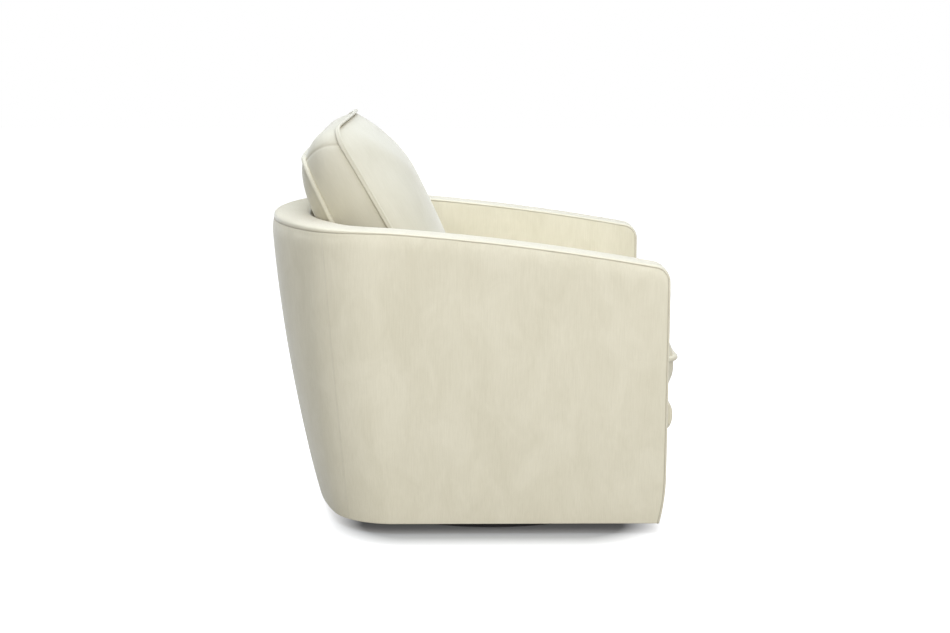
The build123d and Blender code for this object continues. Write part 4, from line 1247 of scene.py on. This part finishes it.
class ChairLinings(bpy.types.Operator):
    """Deck cloth under the seat cushion and dust cover under the frame"""

    bl_idname = "chair.linings"
    bl_label = "Linings"

    def execute(self, context):
        tub = Tub(context.scene)
        self.deck(tub)
        self.dust(tub)
        return {"FINISHED"}

    def deck(self, tub):
        """Deck cloth: each line across runs from the front border to the plan's rear arc at its place."""
        s = tub.sizes
        plan = tub.plan(np.array(s.pad_foot))
        sag, drop, under_drop, gap = 0.0002, 0.0003, 0.0017, 0.0008
        inset = s.wall + PLAY
        x = (plan.half - inset) * (2 * edged(count=121, closeness=0.6) - 1)
        beyond = np.abs(x) > (plan.back - inset) * np.cos(plan.join)
        arc_y = plan.back_y + np.sqrt((plan.back - inset) ** 2 - x ** 2)
        from_corner = np.clip((plan.corner - inset) ** 2 - (np.abs(x) - plan.corner_x) ** 2, 0, None)
        rear = np.where(beyond, plan.corner_y + np.sqrt(from_corner), arc_y)
        front = s.border_rear + gap
        y = front + (rear - front) * np.linspace(0, 1, num=120)[:, None]
        top = stacked(x, y, s.deck_top - drop - np.abs(sag * soft_noise(x, y, *DECK_SAG)))
        under = stacked(x, y, s.deck_top - under_drop)
        piece = new_pad("deck_cloth_sheet", top, under, np.zeros(y.shape))
        dress(piece, "deck_weave", "chair", "lining", "deck_cloth")

    def dust(self, tub):
        """Dust cover: a ring of cloth from the plan's outline in to the opening round the swivel plate."""
        s = tub.sizes
        sag, lower_rise, upper_rise, front_gap, hem_gap = 0.0003, 0.0001, 0.0013, 0.0128, 0.001
        level = s.hem_height + hem_gap
        straight, corner = np.linspace(3.0, 2.0, num=70)[:-1], np.linspace(2.0, 1.0, num=30)[:-1]
        place = np.concatenate([straight, corner, np.linspace(1.0, 0.0, num=50)])
        x, y = tub.wall(place, np.full(place.shape, level), s.outer_pad + PLAY)
        front = float(tub.front(level, front_gap))
        y = np.maximum(y, front)
        x, y = np.concatenate([x, -x[-2::-1]]), np.concatenate([y, y[-2::-1]])
        fill = np.linspace(x[-1], x[0], num=82)[1:-1]
        x, y = np.concatenate([x, fill]), np.concatenate([y, np.full(fill.shape, front)])
        angle = np.arctan2(y, x)
        step = np.linspace(0.0, 1.0, num=40)[:, None]
        ring_x = s.hole * np.cos(angle) * (1 - step) + x * step
        ring_y = s.hole * np.sin(angle) * (1 - step) + y * step
        hanging = sag * np.abs(soft_noise(ring_x, ring_y, *DUST_SAG))
        lower = stacked(ring_x, ring_y, level + lower_rise + hanging)
        upper = stacked(ring_x, ring_y, level + upper_rise)
        rings = np.concatenate([lower, upper[::-1]])
        piece = new_ring("dust_cover_sheet", rings)
        dress(piece, "lining", "chair", "lining", "dust_cover")


def stuffed(scene, name, finish, form, seams):
    """Cushion cover: the slack form is remeshed, blown up as cloth held along its welts, and sewn, with
    painted shade beside its welts and in its boxing seams.
    """
    fill, sewing = scene.chair_fill, scene.chair_sewing
    rings = form.rings(fill.slack)
    piece = new_piece(name, rings.reshape(-1, 3), [grid_quads(*rings.shape[:2], False, True)])
    piece.data.materials.append(finish_named(finish))
    path = np.concatenate([face.edge()[0] for face in (form.front, form.rear)])
    blow_up(piece, fill, path)
    points, normals = vectors_of(piece.data, "co"), vectors_of(piece.data, "normal")
    # Painted shade beside the welts
    marks = seam_mark(distance_to_path(points, path), scene.chair_back.welt / 2, WELT_MARK)
    # Each boxing seam is dented into the cover and given painted shade
    for seam in seams:
        distance = distance_to_seam(points, *seam)
        points = points - normals * seam_mark(distance, BOXING_FOLD, sewing.boxing_seam)[:, None]
        marks = np.maximum(marks, seam_mark(distance, *BOXING_SEAM))
    # Painted shade: the side boxing is darkened towards the seam colour
    marks = np.maximum(marks, SIDE_PAINTED_SHADE * form.on_sides(points, normals))
    move_points(piece.data, points)
    mark_seams(piece.data, marks)
    piece.data.update()
    return piece


def modified(piece, label, kind, **settings):
    """Applies a modifier with its settings to the active piece."""
    modifier = piece.modifiers.new(label, kind)
    for key, value in settings.items():
        setattr(modifier, key, value)
    bpy.ops.object.modifier_apply(modifier=modifier.name)


def blow_up(piece, fill, held_path):
    """Runs pressure through the cover as cloth, pinned near its welts, and keeps the capped, eased result."""
    scene = bpy.context.scene
    bpy.context.view_layer.objects.active = piece
    piece.select_set(True)
    modified(piece, "even cells", "REMESH", mode="VOXEL", voxel_size=fill.voxel, use_smooth_shade=True)
    before, facing = vectors_of(piece.data, "co"), vectors_of(piece.data, "normal")
    held = piece.vertex_groups.new(name="held")
    grip = np.clip(GRIP_REACH - distance_to_path(before, held_path) / fill.voxel, 0.0, 1.0)
    for weight in np.arange(1.0, 0.0, -GRIP_STEP):
        chosen = np.flatnonzero(np.abs(grip - weight) <= GRIP_STEP / 2)
        held.add(chosen.tolist(), weight, "REPLACE")
    cloth = piece.modifiers.new("stuffing", "CLOTH")
    for key, value in CLOTH_SETTINGS.items():
        setattr(cloth.settings, key, value)
    cloth.settings.uniform_pressure_force = fill.pressure
    cloth.settings.effector_weights.gravity = 0.0
    cloth.collision_settings.use_collision = False
    for number in range(1, CLOTH_FRAMES + 1):
        scene.frame_set(number)
    blown = piece.evaluated_get(bpy.context.evaluated_depsgraph_get())
    swollen = ((vectors_of(blown.data, "co") - before) * facing).sum(1)
    piece.modifiers.remove(cloth)
    scene.frame_set(1)
    move_points(piece.data, before + np.clip(swollen, -fill.sink, fill.cap)[:, None] * facing)
    piece.data.update()
    loose = {"vertex_group": held.name, "invert_vertex_group": True}
    modified(piece, "ease", "SMOOTH", factor=EASE_FACTOR, iterations=EASE_STEPS, **loose)
    modified(piece, "finer", "SUBSURF", levels=1, render_levels=1)
    piece.select_set(False)


def welt_tube(name, path, out, ahead, radius, ridges):
    """Cord round a cushion face: a circle, or two lobes side by side, carried along the welt's path."""
    round_points, lobed_points, mean, lobe = 20, 32, 0.80, 0.30
    count = round_points if ridges == 1 else lobed_points
    angle = np.linspace(0.0, 2 * np.pi, count, endpoint=False)
    swell = radius if ridges == 1 else radius * (mean - lobe * np.cos(2 * angle))
    outwards, forwards = (swell * np.cos(angle))[:, None], (swell * np.sin(angle))[:, None]
    rings = path[:, None] + out[:, None] * outwards + forwards * ahead
    return new_ring(name, rings)


def cushion(scene, body, finish, form, seams, welts):
    """Loose cushion: its stuffed cover and a cord round each face.

    A welt is its label, its face, the sizes that its cord is taken from, its ridges and its lift.
    """
    cover = stuffed(scene, body, finish, form, seams)
    bind(cover, body, "velvet", body + "_cover", body + "_core")
    for label, face, cord, ridges, lift in welts:
        path, out = face.edge(cord.welt_stand)
        name = body.replace("cushion", "welt_" + label)
        tube = welt_tube(name, path + lift * face.normal, out, face.normal, cord.welt / 2, ridges)
        dress(tube, finish, body, "velvet", body + "_welt_" + label)


class ChairSeatCushion(bpy.types.Operator):
    """Loose seat cushion with its two welts"""

    bl_idname = "chair.seat_cushion"
    bl_label = "Seat cushion"

    def execute(self, context):
        scene = context.scene
        seat, back = scene.chair_seat, scene.chair_back
        form = seat_form(seat)
        seams = [form.shoulder(2), form.shoulder(3)]
        welts = [("top", form.front, seat, 1, 0.0), ("under", form.rear, back, 1, 0.0)]
        cushion(scene, "seat_cushion", "velvet_level", form, seams, welts)
        return {"FINISHED"}


class ChairBackCushion(bpy.types.Operator):
    """Loose back cushion with its welts and the plain seams at its shoulders"""

    bl_idname = "chair.back_cushion"
    bl_label = "Back cushion"

    def execute(self, context):
        scene = context.scene
        back = scene.chair_back
        form = back_form(back)
        up, down = CORNER_POINTS // 4, CORNER_POINTS // 3
        seams = [form.shoulder(2, up, -down), form.shoulder(3, -up, down)]
        welts = [("front", form.front, back, 2, back.welt_lift), ("rear", form.rear, back, 1, 0.0)]
        cushion(scene, "back_cushion", "velvet_leaning", form, seams, welts)
        return {"FINISHED"}


class ChairStudio(bpy.types.Operator):
    """Pale floor, soft lamps and the camera at the photograph's angle"""

    bl_idname = "chair.studio"
    bl_label = "Studio"

    def execute(self, context):
        scene = context.scene
        s = scene.chair_studio
        self.floor(s)
        self.world(scene, s)
        self.lamp("top_lamp", (0.1, 0.4, 3.2), (0.0, 0.1, 0.3), size=3.4, power=s.top_lamp, tint=s.cool)
        self.lamp("front_lamp", (-0.6, -3.6, 2.0), (0.0, 0.0, 0.5), size=2.6, power=s.front_lamp, tint=s.cool)
        self.lamp("side_lamp", (-3.6, -0.6, 1.9), (0.0, 0.0, 0.4), size=2.6, power=s.side_lamp, tint=WHITE)
        eye = bpy.data.cameras.new("camera")
        eye.sensor_width = 36.0
        eye.lens = s.lens
        level = math.cos(s.pitch)
        gaze = Vector((level * math.cos(s.yaw), -level * math.sin(s.yaw), -math.sin(s.pitch)))
        scene.camera = self.aimed("camera", eye, (-s.distance, s.aside, s.height), gaze)
        scene.view_settings.view_transform = "Standard"
        return {"FINISHED"}

    def aimed(self, name, data, place, gaze):
        """Lamp or camera at a place, turned to look along a direction."""
        piece = bpy.data.objects.new(name, data)
        piece.location = place
        piece.rotation_euler = gaze.to_track_quat("-Z", "Y").to_euler()
        bpy.context.scene.collection.objects.link(piece)
        return piece

    def lamp(self, name, place, target, size, power, tint):
        """Square soft lamp that faces a target."""
        light = bpy.data.lights.new(name, "AREA")
        light.color, light.size, light.energy = tint, size, power
        self.aimed(name, light, place, Vector(target) - Vector(place))

    def floor(self, s):
        """Wide flat floor: a grid of points far beyond the chair, with a painted glow for the camera that
        whitens it away from the chair.
        """
        reach, count = 12.0, 9
        steps = np.linspace(-reach, reach, count)
        points = stacked(steps, steps[:, None], 0.0).reshape(-1, 3)
        piece = new_piece("floor", points, [grid_quads(count, count)])
        tree, shader, place = new_material("floor_pale")
        # Painted light: the camera-only glow is weak in a rounded patch shaped like the chair's footprint and
        # shifted towards the camera, so the shadow shows only there
        core = (s.foot_half - s.foot_corner, s.foot_reach - s.foot_corner, 0.0)
        mirrored = vector_step(tree, "ABSOLUTE", vector_step(tree, "ADD", place, (s.foot_shift, 0.0, 0.0)))
        outside = vector_step(tree, "MAXIMUM", vector_step(tree, "SUBTRACT", mirrored, core))
        away = add(tree, "ShaderNodeVectorMath", {0: outside}, operation="LENGTH").outputs["Value"]
        glow = ramp(tree, away, s.foot_corner, s.foot_corner + s.glow_reach, s.glow_near, 1.0)
        camera_ray = add(tree, "ShaderNodeLightPath").outputs["Is Camera Ray"]
        wire(tree, shader, {
            "Base Color": mixed(tree, noise(tree, place, Scale=3.0), s.floor, scaled(s.floor, 1.02)),
            "Roughness": 0.9,
            "Specular IOR Level": 0.0,
            "Emission Color": (*WHITE, 1.0),
            "Emission Strength": arithmetic(tree, "MULTIPLY", camera_ray, glow),
        })
        piece.data.materials.append(finish_named("floor_pale"))

    def world(self, scene, s):
        """Even light all round, and white where the camera or a reflection looks past the floor."""
        world = bpy.data.worlds.new("studio")
        world.use_nodes = True
        tree = world.node_tree
        tree.nodes.clear()
        path = add(tree, "ShaderNodeLightPath").outputs
        seen = arithmetic(tree, "MAXIMUM", path["Is Camera Ray"], path["Is Glossy Ray"])
        seen = arithmetic(tree, "MAXIMUM", seen, path["Is Transmission Ray"])
        level, tint = ramp(tree, seen, 0.0, 1.0, s.ambient, 1.0), mixed(tree, seen, s.warm, WHITE)
        background = add(tree, "ShaderNodeBackground", {"Strength": level, "Color": tint})
        add(tree, "ShaderNodeOutputWorld", {"Surface": background.outputs["Background"]})
        scene.world = world


class ChairPanel(bpy.types.Panel):
    """Lists the chair's operators"""

    bl_idname = "VIEW3D_PT_chair"
    bl_label = "Barrel swivel chair"
    bl_space_type = "VIEW_3D"
    bl_region_type = "UI"
    bl_category = "Chair"

    def draw(self, context):
        for operator in OPERATORS:
            self.layout.operator(operator.bl_idname)


OPERATORS = (
    ChairFinishes, ChairOutsidePanels, ChairRimBand, ChairInsidePads, ChairFrontBorder,
    ChairLinings, ChairSeatCushion, ChairBackCushion, ChairStudio,
)
GROUPS = {
    "chair_tub": TubSizes,
    "chair_sewing": SewingSizes,
    "chair_seat": SeatCushionSizes,
    "chair_back": BackCushionSizes,
    "chair_fill": FillSettings,
    "chair_colours": ClothColours,
    "chair_studio": StudioSettings,
}


def register():
    """Registers the classes and hangs the settings on the scene."""
    for group in (*GROUPS.values(), *OPERATORS, ChairPanel):
        bpy.utils.register_class(group)
    for name, group in GROUPS.items():
        setattr(bpy.types.Scene, name, PointerProperty(type=group))


def unregister():
    """Takes the settings off the scene and the classes out again."""
    for name in GROUPS:
        delattr(bpy.types.Scene, name)
    for group in (ChairPanel, *reversed(OPERATORS), *reversed(GROUPS.values())):
        bpy.utils.unregister_class(group)


def main():
    """Builds the chair and its studio."""
    register()
    bpy.ops.chair.finishes()
    bpy.ops.chair.outside_panels()
    bpy.ops.chair.rim_band()
    bpy.ops.chair.inside_pads()
    bpy.ops.chair.front_border()
    bpy.ops.chair.linings()
    bpy.ops.chair.seat_cushion()
    bpy.ops.chair.back_cushion()
    bpy.ops.chair.studio()


if __name__ == "__main__":
    main()
